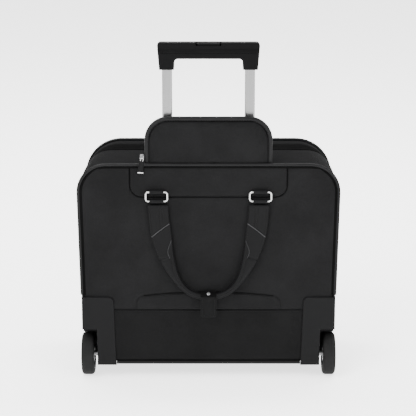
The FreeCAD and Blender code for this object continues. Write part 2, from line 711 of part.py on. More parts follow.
def near_keeper():
    """Snap strap looped around the grip, with its tail hanging in front."""
    y = NEAR - HANDLE_OUT
    half = 13.2
    inside = GRIP_R + 1.4
    outside = inside + 2.0
    tail_low = 112.0
    loop = rod(outside, Vector(-half, y, HANDLE_BOTTOM), Vector(half, y, HANDLE_BOTTOM))
    tail = box(-half, half, y - outside, y - outside + 2.6, tail_low, HANDLE_BOTTOM)
    tail = round_corners(tail, 4.0, lambda p: p.z < tail_low + 1)
    bore = rod(inside, Vector(-half - 1, y, HANDLE_BOTTOM), Vector(half + 1, y, HANDLE_BOTTOM))
    return union([loop, tail]).cut(bore)


def near_snap():
    """Press stud that closes the keeper: a cap on the inner side of the tail."""
    y = NEAR - HANDLE_OUT - GRIP_R - 1.4 + 0.6
    z = 121.0
    return rod(5.5, Vector(0, y, z), Vector(0, y + 1.6, z))


# ---------------------------------------------------------------- cover half
def cover_shell():
    """The far half: a dish that opens towards the main half, with a pocket slot in its face."""
    block = case_block(ZIP_FAR, FAR, 0, FAR_CORNER)
    cavity = case_block(ZIP_FAR - 1, FAR - WALL, WALL, FAR_CORNER)
    slot = box(-150, 150, FAR - WALL - 1, FAR + 1, 258, 266)
    raise_base = box(-HALF_TOP, HALF_TOP, ZIP_FAR - 1, FAR + 1, 0, BASE_Z + 0.3)
    return block.cut(cavity).cut(slot).cut(raise_base)


def far_piping():
    y = FAR - 1.5
    block = case_block(y, y + 1, -PIPING, FAR_CORNER)
    return swept_round(rim(block, y), PIPING)


def far_pocket_bag():
    """Flat bag behind the slot of the far face."""
    back = FAR - WALL - 0.05
    outer = box(-158, 158, back - 15, back, 70, 274)
    inner = box(-156, 156, back - 13, back + 1, 72, 272)
    return outer.cut(inner)


# ---------------------------------------------------------------- zip sliders and pulls
def main_slider():
    """Slider of the main zip, parked low on the left side of the case."""
    z = 100.0
    x = half_width(z) - ZIP_SINK + 0.3
    slider = box(x, x + 3.2, ZIP_MID - 5.5, ZIP_MID + 5.5, z - 7, z + 7)
    slider = round_corners(slider, 3.0, lambda p: True, Vector(1, 0, 0))
    bridge = box(x + 3, x + 5.4, ZIP_MID - 1.2, ZIP_MID + 1.2, z - 5, z + 4)
    eye = rod(1.0, Vector(x + 4.1, ZIP_MID - 2, z - 2.6), Vector(x + 4.1, ZIP_MID + 2, z - 2.6))
    made = union([slider, bridge]).cut(eye)
    return made.mirror(Vector(0, 0, 0), Vector(1, 0, 0))


def main_pull():
    """Pull tab that hangs from the slider."""
    z = 100.0
    x = half_width(z) - ZIP_SINK + 0.3
    pin = rod(0.7, Vector(x + 4.1, ZIP_MID - 3.0, z - 2.6), Vector(x + 4.1, ZIP_MID + 3.0, z - 2.6))
    arms = []
    for offset in (-3.0, 1.8):
        arms.append(box(x + 3.5, x + 5.3, ZIP_MID + offset, ZIP_MID + offset + 1.2, z - 14, z - 2.1))
    tab = box(x + 3.5, x + 5.3, ZIP_MID - 4.5, ZIP_MID + 4.5, z - 42, z - 12)
    tab = round_corners(tab, 3.5, lambda p: p.z < z - 40, Vector(1, 0, 0))
    made = union([pin] + arms + [tab])
    return made.mirror(Vector(0, 0, 0), Vector(1, 0, 0))


GARAGE_SLIDER_X = -107.2


def garage_slider():
    """Slider of the garage zip, parked at the foot of the flap's left edge."""
    x = GARAGE_SLIDER_X
    body = box(x - 3.8, x + 3.8, NEAR + 4.5, NEAR + 11.5, TOP_Z + 7.5, TOP_Z + 18)
    body = round_corners(body, 2.5, lambda p: True)
    bridge = box(x - 1.2, x + 1.2, NEAR + 0.6, NEAR + 5, TOP_Z + 12, TOP_Z + 17.5)
    eye = rod(1.1, Vector(x - 2, NEAR + 2.2, TOP_Z + 14.6), Vector(x + 2, NEAR + 2.2, TOP_Z + 14.6))
    return union([body, bridge]).cut(eye)


def garage_pull():
    """Pull tab of the garage zip, hanging over the piping."""
    x = GARAGE_SLIDER_X
    z = TOP_Z + 14.6
    pin = rod(0.8, Vector(x - 3.4, NEAR + 2.2, z), Vector(x + 3.4, NEAR + 2.2, z))
    pieces = [pin]
    for offset in (-3.4, 2.0):
        pieces.append(box(x + offset, x + offset + 1.4, NEAR - 3.9, NEAR + 3.1, z - 1, z + 1))
    pieces.append(box(x - 4.6, x + 4.6, NEAR - 4.6, NEAR - 2.2, z - 25, z + 1))
    return union(pieces)


# ---------------------------------------------------------------- all the pieces
def all_pieces():
    pieces = near_face_panels()
    pieces["main_shell"] = main_shell()
    pieces["near_piping"] = near_piping()
    pieces["main_zip_near"] = zip_band(ZIP_NEAR, ZIP_MID - 0.3, NEAR_CORNER)
    pieces["main_zip_far"] = zip_band(ZIP_MID + 0.3, ZIP_FAR, NEAR_CORNER)
    pieces["frame_board"] = frame_board()
    pieces["tube_bracket"] = tube_bracket()
    pieces["laptop_sleeve"] = laptop_sleeve()
    pieces["base_tray"] = base_tray()
    pieces["feet"] = feet()
    pieces["garage_flap"] = garage_flap()
    pieces["garage_binding"] = garage_binding()
    pieces["garage_zip_tape"] = garage_zip_tape()
    pieces["garage_rear_flap"] = rear_flap()
    pieces["main_slider"] = main_slider()
    pieces["main_pull"] = main_pull()
    pieces["garage_slider"] = garage_slider()
    pieces["garage_pull"] = garage_pull()
    pieces["trolley_bezel"] = trolley_bezel()
    pieces["case_screws"] = case_screws()
    pieces["middle_collars"] = middle_collars()
    pieces["grip_front_shell"] = grip_shell(True)
    pieces["grip_rear_shell"] = grip_shell(False)
    pieces["grip_screws"] = grip_screws()
    pieces["release_button"] = release_button()
    pieces["push_rods"] = push_rods()
    pieces["button_spring"] = button_spring()
    pieces["lock_pins"] = lock_pins()
    pieces["wheel_axles"] = wheel_axles()
    guards = both_sides(corner_guard())
    for index, (name, side) in enumerate((("right", 1), ("left", -1))):
        pieces["corner_guard_" + name] = guards[index]
        pieces["outer_tube_" + name] = square_tube(OUTER_TUBE, side * TUBE_X, OUTER_BOTTOM, TOP_Z)
        pieces["middle_tube_" + name] = middle_tube(side * TUBE_X)
        pieces["inner_tube_" + name] = inner_tube(side * TUBE_X)
        pieces["wheel_tyre_" + name] = wheel_tyre(side)
        pieces["wheel_hub_" + name] = wheel_hub(side)
        pieces["wheel_bearings_" + name] = wheel_bearings(side)
    for name, far in (("near", False), ("far", True)):
        pieces[name + "_ring_anchors"] = ring_anchors(far)
        pieces[name + "_rings"] = rings(far)
        pieces[name + "_handle_strap"] = handle_strap(far)
        pieces[name + "_handle_grip"] = handle_grip(far)
    pieces["near_keeper"] = near_keeper()
    pieces["near_snap"] = near_snap()
    pieces["cover_shell"] = cover_shell()
    pieces["far_piping"] = far_piping()
    pieces["far_pocket_bag"] = far_pocket_bag()
    return pieces


os.makedirs("parts", exist_ok=True)
for node, shape in sorted(all_pieces().items()):
    if not shape.isValid():
        print("invalid:", node)
    bounds = shape.BoundBox
    print(node, len(shape.Solids), round(shape.Volume), [round(v, 1) for v in (
        bounds.XMin, bounds.YMin, bounds.ZMin, bounds.XMax, bounds.YMax, bounds.ZMax)])
    shape.exportStep("parts/" + node + ".step")
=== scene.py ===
import json
import math

import bmesh
import bpy
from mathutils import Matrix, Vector, noise


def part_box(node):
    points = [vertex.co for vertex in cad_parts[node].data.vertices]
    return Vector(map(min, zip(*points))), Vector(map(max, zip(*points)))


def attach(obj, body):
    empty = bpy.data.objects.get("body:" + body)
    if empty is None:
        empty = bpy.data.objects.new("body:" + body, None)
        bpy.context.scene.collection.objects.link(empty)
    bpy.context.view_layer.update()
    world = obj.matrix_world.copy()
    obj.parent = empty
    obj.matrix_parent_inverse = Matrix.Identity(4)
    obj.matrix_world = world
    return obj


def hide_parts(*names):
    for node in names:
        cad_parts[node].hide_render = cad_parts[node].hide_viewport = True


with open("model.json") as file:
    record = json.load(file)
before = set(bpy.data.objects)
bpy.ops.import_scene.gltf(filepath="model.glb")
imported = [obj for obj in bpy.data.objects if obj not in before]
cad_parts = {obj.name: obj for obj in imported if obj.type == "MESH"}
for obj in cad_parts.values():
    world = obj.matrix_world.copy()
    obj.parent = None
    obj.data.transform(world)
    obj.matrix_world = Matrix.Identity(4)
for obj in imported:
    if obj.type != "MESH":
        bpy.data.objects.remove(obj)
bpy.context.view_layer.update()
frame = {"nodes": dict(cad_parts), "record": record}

# Rolling laptop case.  Metres, +Z up, -Y is the side with the wheels and the telescopic handle.
MM = 0.001
NEAR, FAR = -1, 1              # the way each face looks along Y
RIGHT, BACK, UP = Vector((1, 0, 0)), Vector((0, 1, 0)), Vector((0, 0, 1))

# ---- places taken from the frame
near_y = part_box("near_panel")[0].y
far_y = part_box("cover_shell")[1].y
base_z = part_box("main_shell")[0].z
top_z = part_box("main_shell")[1].z
zip_near_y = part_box("main_zip_near")[0].y
zip_mid_y = (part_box("main_zip_near")[1].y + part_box("main_zip_far")[0].y) / 2
zip_far_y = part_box("main_zip_far")[1].y
well_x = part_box("corner_guard_right")[0].x + 23.5 * MM
well_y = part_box("corner_guard_right")[1].y
flap_lo, flap_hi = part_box("garage_binding")

HALF_TOP = 208.5 * MM          # half width of the case at the top and at the base
HALF_BASE = 203.6 * MM
NEAR_CORNER = 43.5 * MM
FAR_CORNER = 58 * MM
BASE_CORNER = 28 * MM
WALL = 4 * MM
SKIN_BACK = 0.6 * MM           # the cloth's base surface lies this far inside the CAD face
FACE_INSET = 1.6 * MM          # where a gusset ends, short of the face
GUARD_TOP = 142 * MM
GUARD_X = 152.4 * MM
WELL_TOP = 96 * MM

RING_X = 84 * MM
RING_TOP_BAR = 320.2 * MM
RING_LOW_BAR = 305 * MM
RING_OUT = 5 * MM
RING_WIRE = 1.6 * MM
LOOP_HALF = 11.5               # half width of the loops around the rings, in millimetres
HANDLE_X = 81.5 * MM
HANDLE_TOP = 299 * MM
HANDLE_BOTTOM = 145.5 * MM
HANDLE_OUT = 10 * MM
STRAP_HALF = 16.8 * MM
STRAP_THICK = 1.6 * MM
GRIP_R = 5.6 * MM
WRAP_START = 0.42              # share of the handle's half where its flat leg ends
FOLD_START = 0.29
KEEPER_LOW = 113 * MM
SEAM_Z = 120 * MM
YOKE_HALF = 127 * MM
YOKE_LOW = 311 * MM
YOKE_CORNER = 19 * MM
PATCH_HALF = 118.5 * MM
PATCH_TOP = 150 * MM
POCKET_ZIP_Z = 262 * MM
POCKET_ZIP_HALF = 152 * MM

ZIP_FOOT = 22 * MM             # height above the base where the main zip ends
ZIP_CENTRE_Z = 190 * MM
ZIP_GAP = 0.3 * MM
ZIP_DEPTH = 4.5 * MM           # how deep the main zip lies, and how much less at the top
ZIP_RISE = 2.1 * MM
TOOTH_PITCH = 2.2 * MM


# ---- small sums
def steps(low, high, count):
    """Evenly spaced values from low to high, both included."""
    return [low + (high - low) * i / count for i in range(count + 1)]


def turn(count):
    """Angles once round."""
    return [2 * math.pi * k / count for k in range(count)]


def squared(angle, power_u, power_v):
    """Point of a circle, squared up towards its corners by powers below one."""
    c, s = math.cos(angle), math.sin(angle)
    return math.copysign(abs(c) ** power_u, c), math.copysign(abs(s) ** power_v, s)


def soft_noise(point, scale, seed=0.0):
    """Smooth noise from -1 to 1."""
    return noise.noise(Vector((point.x * scale + seed, point.y * scale, point.z * scale - seed)))


def smoothstep(value, low, high):
    t = min(1.0, max(0.0, (value - low) / (high - low)))
    return t * t * (3 - 2 * t)


def chord(rise, radius):
    """Half width of a circle at a distance from its middle."""
    return math.sqrt(max(0, radius ** 2 - rise ** 2))


def off_wall(face, out):
    """The y of a place that stands out from the near or the far face."""
    return (far_y if face == FAR else near_y) + face * out


# ---- materials
class Shade:
    """A principled material and the nodes that feed it."""

    def __init__(self, name, color, roughness, constants):
        self.mat = bpy.data.materials.new(name)
        self.mat.use_nodes = True
        self.tree = self.mat.node_tree
        self.color, self.roughness = color, roughness
        self.shader = self.tree.nodes["Principled BSDF"]
        self.shader.inputs["Base Color"].default_value = (*color, 1)
        self.shader.inputs["Roughness"].default_value = roughness
        for socket, value in constants.items():
            self.shader.inputs[socket].default_value = value

    def node(self, kind, inputs):
        """A node whose inputs are constants or the outputs of other nodes."""
        made = self.tree.nodes.new("ShaderNode" + kind)
        for socket, value in inputs.items():
            if isinstance(value, bpy.types.NodeSocket):
                self.tree.links.new(value, made.inputs[socket])
            else:
                made.inputs[socket].default_value = value
        return made

    def place(self, stretch=(1, 1, 1)):
        """Object coordinates in metres, stretched."""
        coords = self.node("TexCoord", {})
        return self.node("Mapping", {"Vector": coords.outputs["Object"], "Scale": stretch}).outputs["Vector"]

    def noise(self, scale, detail, rough=0.6, stretch=(1, 1, 1)):
        inputs = {"Vector": self.place(stretch), "Scale": scale, "Detail": detail, "Roughness": rough}
        return self.node("TexNoise", inputs).outputs["Fac"]

    def add(self, a, b, weight):
        made = self.node("Math", {0: b, 1: weight, 2: a})
        made.operation = "MULTIPLY_ADD"
        return made.outputs[0]

    def weave(self, pitch):
        """Threads along all three axes, so that every side of the case shows two of them."""
        total = None
        for axis in "XYZ":
            wave = self.node("TexWave", {"Vector": self.place(), "Scale": 0.314 / pitch, "Distortion": 0.4,
                                         "Detail": 1.0})
            wave.wave_type = "BANDS"
            wave.bands_direction = axis
            value = wave.outputs["Fac"]
            total = value if total is None else self.add(total, value, 1.0)
        return total

    def colour(self, value, low, high, start=0.3, end=0.7):
        """The base colour, from low to high times its own, as value goes from start to end."""
        ramp = self.node("ValToRGB", {"Fac": value})
        for element, factor, position in zip(ramp.color_ramp.elements, (low, high), (start, end)):
            element.position = position
            element.color = (*[c * factor for c in self.color], 1)
        self.tree.links.new(ramp.outputs["Color"], self.shader.inputs["Base Color"])

    def wear(self, value, low, high, start=0.3, end=0.7):
        """Roughness from low to high as value goes from start to end."""
        made = self.node("MapRange", {"Value": value, "From Min": start, "From Max": end,
                                      "To Min": low, "To Max": high})
        self.tree.links.new(made.outputs["Result"], self.shader.inputs["Roughness"])

    def bump(self, height, strength, distance):
        made = self.node("Bump", {"Height": height, "Strength": strength, "Distance": distance})
        self.tree.links.new(made.outputs["Normal"], self.shader.inputs["Normal"])
        return self.mat


def fabric(name, color, pitch=1.1 * MM, roughness=0.72, sheen=0.02, depth=0.25 * MM, shine=0.02):
    """Woven cloth: threads in the bump, slubs and rubbed patches in colour and roughness."""
    shade = Shade(name, color, roughness,
                  {"Sheen Weight": sheen, "Sheen Roughness": 0.45, "Specular IOR Level": shine})
    broad = shade.noise(14, 5)
    slubs = shade.noise(0.35 / pitch, 2)
    shade.colour(shade.add(broad, slubs, 0.5), 0.8, 1.22, 0.55, 0.95)
    shade.wear(broad, roughness - 0.08, roughness + 0.08)
    return shade.bump(shade.add(shade.weave(pitch), slubs, 0.8), 0.5, depth)


def leather(name, color, roughness=0.5, grain=520, depth=0.12 * MM, shine=0.09):
    """Coated cloth or leather: a fine pebble grain, rubbed smoother here and there."""
    shade = Shade(name, color, roughness, {"Specular IOR Level": shine})
    cells = shade.node("TexVoronoi", {"Vector": shade.place(), "Scale": grain})
    broad = shade.noise(22, 5)
    shade.colour(broad, 0.82, 1.2)
    shade.wear(broad, roughness - 0.1, roughness + 0.1)
    return shade.bump(shade.add(cells.outputs["Distance"], shade.noise(grain * 2, 3), 0.4), 0.5, depth)


def moulded(name, color, roughness=0.45, shine=0.07):
    """Moulded plastic: a fine eroded surface with faint scuffs."""
    shade = Shade(name, color, roughness, {"Specular IOR Level": shine})
    scuffs = shade.noise(60, 6, 0.75, (1, 1, 5))
    shade.colour(scuffs, 0.9, 1.25, 0.35, 0.85)
    shade.wear(scuffs, roughness - 0.07, roughness + 0.1)
    return shade.bump(shade.noise(2200, 2), 0.4, 0.04 * MM)


def rubber(name, color):
    """Tyre rubber: dull, with dust caught in a rough skin."""
    shade = Shade(name, color, 0.8, {"Specular IOR Level": 0.06})
    dust = shade.noise(45, 6, 0.7)
    shade.colour(dust, 1, 1.7, 0.45, 0.8)
    shade.wear(dust, 0.62, 0.85)
    return shade.bump(shade.noise(900, 3), 0.4, 0.08 * MM)


def drawn_metal(name, color, roughness=0.3):
    """Anodised tube, drawn lengthwise: fine lines that run along Z."""
    shade = Shade(name, color, roughness, {"Metallic": 1.0, "Anisotropic": 0.5})
    lines = shade.noise(1400, 3, 0.7, (1, 1, 0.004))
    shade.colour(lines, 0.9, 1.06)
    shade.wear(shade.add(lines, shade.noise(30, 5), 0.6), roughness - 0.07, roughness + 0.12, 0.5, 1.1)
    return shade.bump(lines, 0.25, 0.05 * MM)


def polished_metal(name, color, roughness):
    """Plated metal with finger smudges and hairline wear."""
    shade = Shade(name, color, roughness, {"Metallic": 1.0})
    smudge = shade.noise(120, 5)
    shade.colour(smudge, 0.92, 1)
    shade.wear(smudge, roughness * 0.7, roughness * 1.9)
    return shade.bump(shade.noise(700, 2), 0.15, 0.02 * MM)


SLOT_FINISHES = {
    "body_fabric": (fabric, (0.0048, 0.0048, 0.0049), {}),
    "panel_fabric": (fabric, (0.0068, 0.0068, 0.0070), {"pitch": 0.9 * MM}),
    "piping": (leather, (0.0056, 0.0056, 0.0058), {"roughness": 0.45, "depth": 0.05 * MM}),
    "strap_fabric": (leather, (0.0036, 0.0036, 0.0038), {"roughness": 0.55, "grain": 700, "shine": 0.06}),
    "webbing": (fabric, (0.003, 0.003, 0.003), {"pitch": 1.6 * MM, "roughness": 0.8, "sheen": 0.004,
                                                "depth": 0.4 * MM, "shine": 0.005}),
    "lining": (fabric, (0.06, 0.06, 0.063), {"pitch": 0.7 * MM, "sheen": 0.1}),
    "board": (moulded, (0.008, 0.008, 0.008), {"roughness": 0.55}),
    "moulded_plastic": (moulded, (0.0036, 0.0036, 0.0038), {"roughness": 0.5, "shine": 0.06}),
    "grip_plastic": (moulded, (0.0020, 0.0020, 0.0021), {"roughness": 0.34, "shine": 0.05}),
    "tyre_rubber": (rubber, (0.0066, 0.0066, 0.0066), {}),
    "hub_plastic": (moulded, (0.016, 0.016, 0.0165), {}),
    "tube_aluminium": (drawn_metal, (0.235, 0.235, 0.235), {}),
    "bright_metal": (polished_metal, (0.42, 0.42, 0.415), {"roughness": 0.2}),
    "steel": (polished_metal, (0.36, 0.36, 0.365), {"roughness": 0.3}),
}
SLOT_MATERIALS = {name: kind(name, color, **more) for name, (kind, color, more) in SLOT_FINISHES.items()}
GUSSET = fabric("gusset_fabric", (0.0056, 0.0056, 0.0058), roughness=0.8, sheen=0.008,
                depth=0.14 * MM, shine=0.008)
DARK_METAL = polished_metal("gunmetal", (0.16, 0.16, 0.162), 0.3)
THREAD = leather("thread", (0.0055, 0.0055, 0.0057), 0.7, 1500)
# lighter strap colours for thin cords along the patch's and the fold's edges: painted highlights
PATCH_EDGE_HIGHLIGHT = leather("painted_edge_highlight", (0.03, 0.03, 0.031), 0.42, 900)
FOLD_HIGHLIGHT = leather("painted_fold_highlight", (0.02, 0.02, 0.021), 0.42, 900)
ZIP_COIL = fabric("zip_coil", (0.0025, 0.0025, 0.0027), pitch=0.5 * MM, sheen=0.0, depth=0.05 * MM, shine=0.0)
FLOOR = Shade("floor", (0.93, 0.93, 0.93), 0.7,
              {"Emission Color": (1, 1, 1, 1), "Emission Strength": 1.9}).mat


# ---- mesh helpers
def add_object(name, data):
    obj = bpy.data.objects.new(name, data)
    bpy.context.scene.collection.objects.link(obj)
    return obj


def around(rows):
    """The rim of a grid, as one closed loop."""
    return rows[0] + [r[-1] for r in rows[1:]] + rows[-1][-2::-1] + [r[0] for r in rows[-2:0:-1]]


class Builder:
    """Collects the vertices and faces of one piece."""

    def __init__(self):
        self.verts = []
        self.faces = []

    def grid(self, rows, wrap=False):
        """A sheet of quads from equally long rows; wrap joins each row's end to its start."""
        start = len(self.verts)
        count = len(rows[0])
        for row in rows:
            self.verts.extend(row)
        for j in range(len(rows) - 1):
            for i in range(count if wrap else count - 1):
                k = (i + 1) % count
                a = start + j * count
                b = a + count
                self.faces.append((a + i, a + k, b + k, b + i))

    def cap(self, points):
        """One face over a small closed outline."""
        start = len(self.verts)
        self.verts.extend(points)
        self.faces.append(tuple(range(start, start + len(points))))

    def bar(self, sections):
        """A solid through closed sections, capped at both ends."""
        self.grid(sections, wrap=True)
        self.cap(sections[0])
        self.cap(sections[-1])
        return self

    def slab(self, top, bottom):
        """Two sheets joined around their rims."""
        self.grid(top)
        self.grid(bottom)
        self.grid([around(top), around(bottom)], wrap=True)
        return self

    def cord(self, path, radius, up=BACK, closed=False, sides=10):
        """A round bar along a path."""
        rows = []
        last = len(path) - 1
        for i, point in enumerate(path):
            run = (path[min(i + 1, last)] - path[max(i - 1, 0)]).normalized()
            side = run.cross(up).normalized()
            top = side.cross(run).normalized()
            rows.append([point + (side * math.cos(a) + top * math.sin(a)) * radius for a in turn(sides)])
        if closed:
            self.grid(rows + [rows[0]], wrap=True)
            return self
        return self.bar(rows)

    def make(self, name, slot, body, replaces=None, fill=None, material=None, smooth=True):
        """The mesh object, riding on a body; the fill argument is not used."""
        mesh = bpy.data.meshes.new(name)
        mesh.from_pydata([tuple(v) for v in self.verts], [], self.faces)
        bm = bmesh.new()
        bm.from_mesh(mesh)
        bmesh.ops.remove_doubles(bm, verts=bm.verts, dist=1e-6)
        bmesh.ops.recalc_face_normals(bm, faces=bm.faces)
        bm.to_mesh(mesh)
        bm.free()
        finish_piece(add_object(name, mesh), slot, body, replaces, material, smooth)


def finish_piece(obj, slot, body, replaces, material=None, smooth=True):
    """Gives a piece its finish, its body and the CAD nodes it stands for."""
    obj.data.materials.clear()
    obj.data.materials.append(material or SLOT_MATERIALS[slot])
    if smooth:
        obj.data.polygons.foreach_set("use_smooth", [True] * len(obj.data.polygons))
    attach(obj, body)
    if replaces is not None:
        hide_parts(*replaces)


def walker(path):
    """The length of a path, and a function from a distance to the point and direction there."""
    total = [0.0]
    for a, b in zip(path, path[1:]):
        total.append(total[-1] + (b - a).length)

    def at(distance):
        distance = min(max(distance, 0), total[-1])
        i = next(i for i in range(len(path) - 1) if distance <= total[i + 1] + 1e-9)
        share = (distance - total[i]) / max(total[i + 1] - total[i], 1e-9)
        return path[i].lerp(path[i + 1], share), (path[i + 1] - path[i]).normalized()

    return total[-1], at


def stitches(name, path, normal, body, length=3.0 * MM, gap=1.1 * MM, radius=0.42 * MM):
    """A row of sewn stitches lying on a surface along a path."""
    total, at = walker(path)
    builder = Builder()
    s = gap / 2
    while s + length < total:
        bend = [at(s + length * f)[0] + normal * radius * lift
                for f, lift in ((0, -0.8), (0.15, 0.35), (0.5, 0.6), (0.85, 0.35), (1, -0.8))]
        builder.cord(bend, radius, up=normal, sides=6)
        s += length + gap
    builder.make(name, "strap_fabric", body, material=THREAD)


# ---- the case outline
def half_width(z):
    return HALF_BASE + (HALF_TOP - HALF_BASE) * (z - base_z) / (top_z - base_z)


def outline(corner, step=6 * MM):
    """Closed loop of (x, z, normal x, normal z) around the case, starting under the middle."""
    lean = math.atan((HALF_TOP - HALF_BASE) / (top_z - base_z))

    def bend(x, z, radius, start, end):
        waves = [(math.cos(a), math.sin(a)) for a in steps(start, end, 14)]
        return [(x + radius * c, z + radius * s, c, s) for c, s in waves]

    def straight(a, b):
        """Points between two others, with the normal of the first."""
        count = max(2, int(math.dist(a[:2], b[:2]) / step + 0.501))
        return [(a[0] + (b[0] - a[0]) * i / count, a[1] + (b[1] - a[1]) * i / count, a[2], a[3])
                for i in range(1, count)]

    foot, head = (0.0, base_z, 0, -1), (0.0, top_z, 0, 1)
    lower = bend(half_width(base_z) - BASE_CORNER, base_z + BASE_CORNER, BASE_CORNER, -math.pi / 2, -lean)
    upper = bend(half_width(top_z) - corner, top_z - corner, corner, -lean, math.pi / 2)
    half = [foot, *straight(foot, lower[0]), *lower, *straight(lower[-1], upper[0]), *upper,
            *straight(upper[-1], head), head]
    return half + [(-x, z, -nx, nz) for x, z, nx, nz in reversed(half[1:-1])]


def inside_well(x, z):
    return abs(x) > well_x - 0.5 * MM and z < WELL_TOP


def well_outline(corner):
    """The same loop as outline(), drawn in around the two wheel wells, point for point."""
    loop = outline(corner)
    made = list(loop)
    rise = WELL_TOP - base_z
    reach = rise + half_width(WELL_TOP) - well_x
    for side in (-1, 1):
        picked = [i for i, q in enumerate(loop) if side * q[0] > 0 and inside_well(q[0], q[1])]
        gap = reach / (len(picked) - 1)
        for k, i in enumerate(picked if side > 0 else picked[::-1]):
            along = rise if abs(gap * k - rise) < 0.5 * gap else gap * k
            if along <= rise:
                made[i] = (side * well_x, base_z + along, side, 0)
            else:
                made[i] = (side * (well_x + along - rise), WELL_TOP, 0, -1)
    return made


def edge_half(z, corner):
    """Half width of the face at a height, with its rounded corners."""
    low, high = base_z + BASE_CORNER, top_z - corner
    if z > high:
        return half_width(high) - corner + chord(z - high, corner)
    if z < low:
        return half_width(low) - BASE_CORNER + chord(low - z, BASE_CORNER)
    return half_width(z)


def face_rows(corner, step):
    """Heights for rows across a face, closer together in the rounded corners."""
    low, high = base_z + BASE_CORNER, top_z - corner
    quarter = [math.pi / 2 * i / 10 for i in range(11)]
    rows = [low - BASE_CORNER * math.cos(a) for a in quarter[:-1]]
    rows += steps(low, high, round((high - low) / step))[:-1]
    return rows + [high + corner * math.sin(a) for a in quarter]


# ---- face surfaces
def seam_dip(distance, width, depth):
    return depth * math.exp(-(distance / width) ** 2)


def rounded_gap(x, z, half, top, corner):
    """Signed distance from (x, z) to a block with round upper corners, open downwards."""
    qx = abs(x) - (half - corner)
    qz = z - (top - corner)
    return math.hypot(max(qx, 0), max(qz, 0)) + min(max(qx, qz), 0) - corner


def patch_crown(x):
    """Height of the arched patch's upper edge."""
    return PATCH_TOP - 7.5 * MM * (x / (115 * MM)) ** 2


def patch_gap(x, z):
    return rounded_gap(x, z, PATCH_HALF, patch_crown(x), 12 * MM)


def relief(x, z, corner, crown, power, slice_y, waves):
    """How far a face stands out: a crown with soft waves, rolled in along its edge."""
    wide = edge_half(z, corner)
    u = min(1.0, abs(x) / max(wide, MM))
    v = abs(z - (top_z + base_z) / 2) / ((top_z - base_z) / 2)
    swell = crown * (1 - u ** 4) * (1 - v ** power)
    ripple = sum(size * soft_noise(Vector((x, slice_y, z)), scale, seed) for size, scale, seed in waves)
    fade = smoothstep(wide - abs(x), 0, 30 * MM) * smoothstep(top_z - z, 0, 30 * MM)
    edge = max(0, min(wide - abs(x), top_z - z, z - base_z))
    return swell + ripple * fade - seam_dip(edge, 3.0 * MM, 2.4 * MM)


def near_point(x, z, lift=0.0):
    """A place on the near face, pulled in where it is sewn."""
    yoke = abs(rounded_gap(x, -z, YOKE_HALF, -YOKE_LOW, YOKE_CORNER))
    patch = abs(patch_gap(x, z)) if z > SEAM_Z else 1
    dip = seam_dip(min(yoke, patch, abs(z - SEAM_Z)), 1.3 * MM, 1.9 * MM)
    waves = ((0.55 * MM, 9, 0), (0.35 * MM, 24, 3.1))
    out = relief(x, z, NEAR_CORNER, 1.1 * MM, 6, 0, waves) - dip
    return Vector((x, near_y + SKIN_BACK - out - lift, z))


def far_point(x, z, lift=0.0):
    """A place on the far face, pulled in along the pocket's zip."""
    dip = seam_dip(abs(z - POCKET_ZIP_Z), 7 * MM, 1.2 * MM) * smoothstep(165 * MM - abs(x), 0, 12 * MM)
    waves = ((0.6 * MM, 8, 5.5), (0.35 * MM, 22, 1.7))
    out = relief(x, z, FAR_CORNER, 2.4 * MM, 4, 0.4, waves) - dip
    return Vector((x, far_y - SKIN_BACK + out + lift, z))


def columns(wide, step, fold, fine):
    """Places across a face: fixed as far as the fold on both sides, and gathered in beyond it."""
    half = steps(0, fold, round(fold / step))
    for centre in fine:
        half = refine(half, centre, 4)
    shares = (0.12, 0.25, 0.38, 0.5, 0.62, 0.73, 0.82, 0.89, 0.94, 0.975, 1.0)
    half += [fold + (wide - fold) * k for k in shares]
    return [-x for x in reversed(half[1:])] + half


def refine(places, centre, count=5):
    """Places with closer ones put in around a seam."""
    kept = [p for p in places if abs(p - centre) > 3.5 * MM]
    return sorted(kept + [centre + k * 0.7 * MM for k in range(-count, count + 1)])


def full_face(name, corner, point, body, nodes, fill, seams, fine=(), wells=False, fold=160 * MM):
    """The cloth of a whole face as a closed panel, its rows following the rounded outline."""
    step = 2.2 * MM
    front, back = [], []
    heights = face_rows(corner, step)
    for z in seams:
        heights = refine(heights, z)
    if wells:
        kept = [z for z in heights if abs(z - WELL_TOP) > 0.6 * MM]
        heights = sorted(kept + [WELL_TOP - 0.3 * MM, WELL_TOP + 0.3 * MM])
    for z in heights:
        wide = edge_half(z, corner)
        if wells and z < WELL_TOP:
            wide = min(wide, well_x - 0.3 * MM)
        xs = columns(wide, step, fold, fine)
        front.append([point(x, z) for x in xs])
        back.append([point(x, z, -WALL) for x in xs])
    Builder().slab(front, back).make(name, "panel_fabric", body, nodes, fill)


def overlay(name, rows, thickness, slot, step=3 * MM):
    """A panel sewn on top of the near face; rows are (z, half width), and its rim is rounded down."""
    top, bottom = [], []
    widest = max(half for z, half in rows)
    across = [x / widest for x in spread(widest, step)]
    for j, (z, half) in enumerate(rows):
        line = []
        for i, share in enumerate(across):
            rim = min(i, len(across) - 1 - i, j, len(rows) - 1 - j)
            line.append(near_point(half * share, z, thickness * (0.5, 0.85, 1.0)[min(rim, 2)]))
        top.append(line)
        bottom.append([near_point(half * share, z, -0.5 * MM) for share in across])
    Builder().slab(top, bottom).make(name, slot, "case")


def spread(half, step):
    """Places across a width, close together at both ends."""
    rim = [k * MM for k in (0, 0.4, 0.9, 1.6, 2.5, 3.8, 5.5)]
    inner = steps(rim[-1] - half, half - rim[-1], max(2, round(2 * (half - rim[-1]) / step)))
    return [k - half for k in rim] + inner[1:-1] + [half - k for k in reversed(rim)]


def ordered(low, high):
    """Row heights 3 mm apart, with close rows at both ends."""
    gap = 0.8 * MM
    middle = steps(low + 3 * gap, high - 3 * gap, max(3, round((high - low) / (3 * MM))))
    return [low + gap * k for k in (0, 1, 2)] + middle + [high - gap * k for k in (2, 1, 0)]


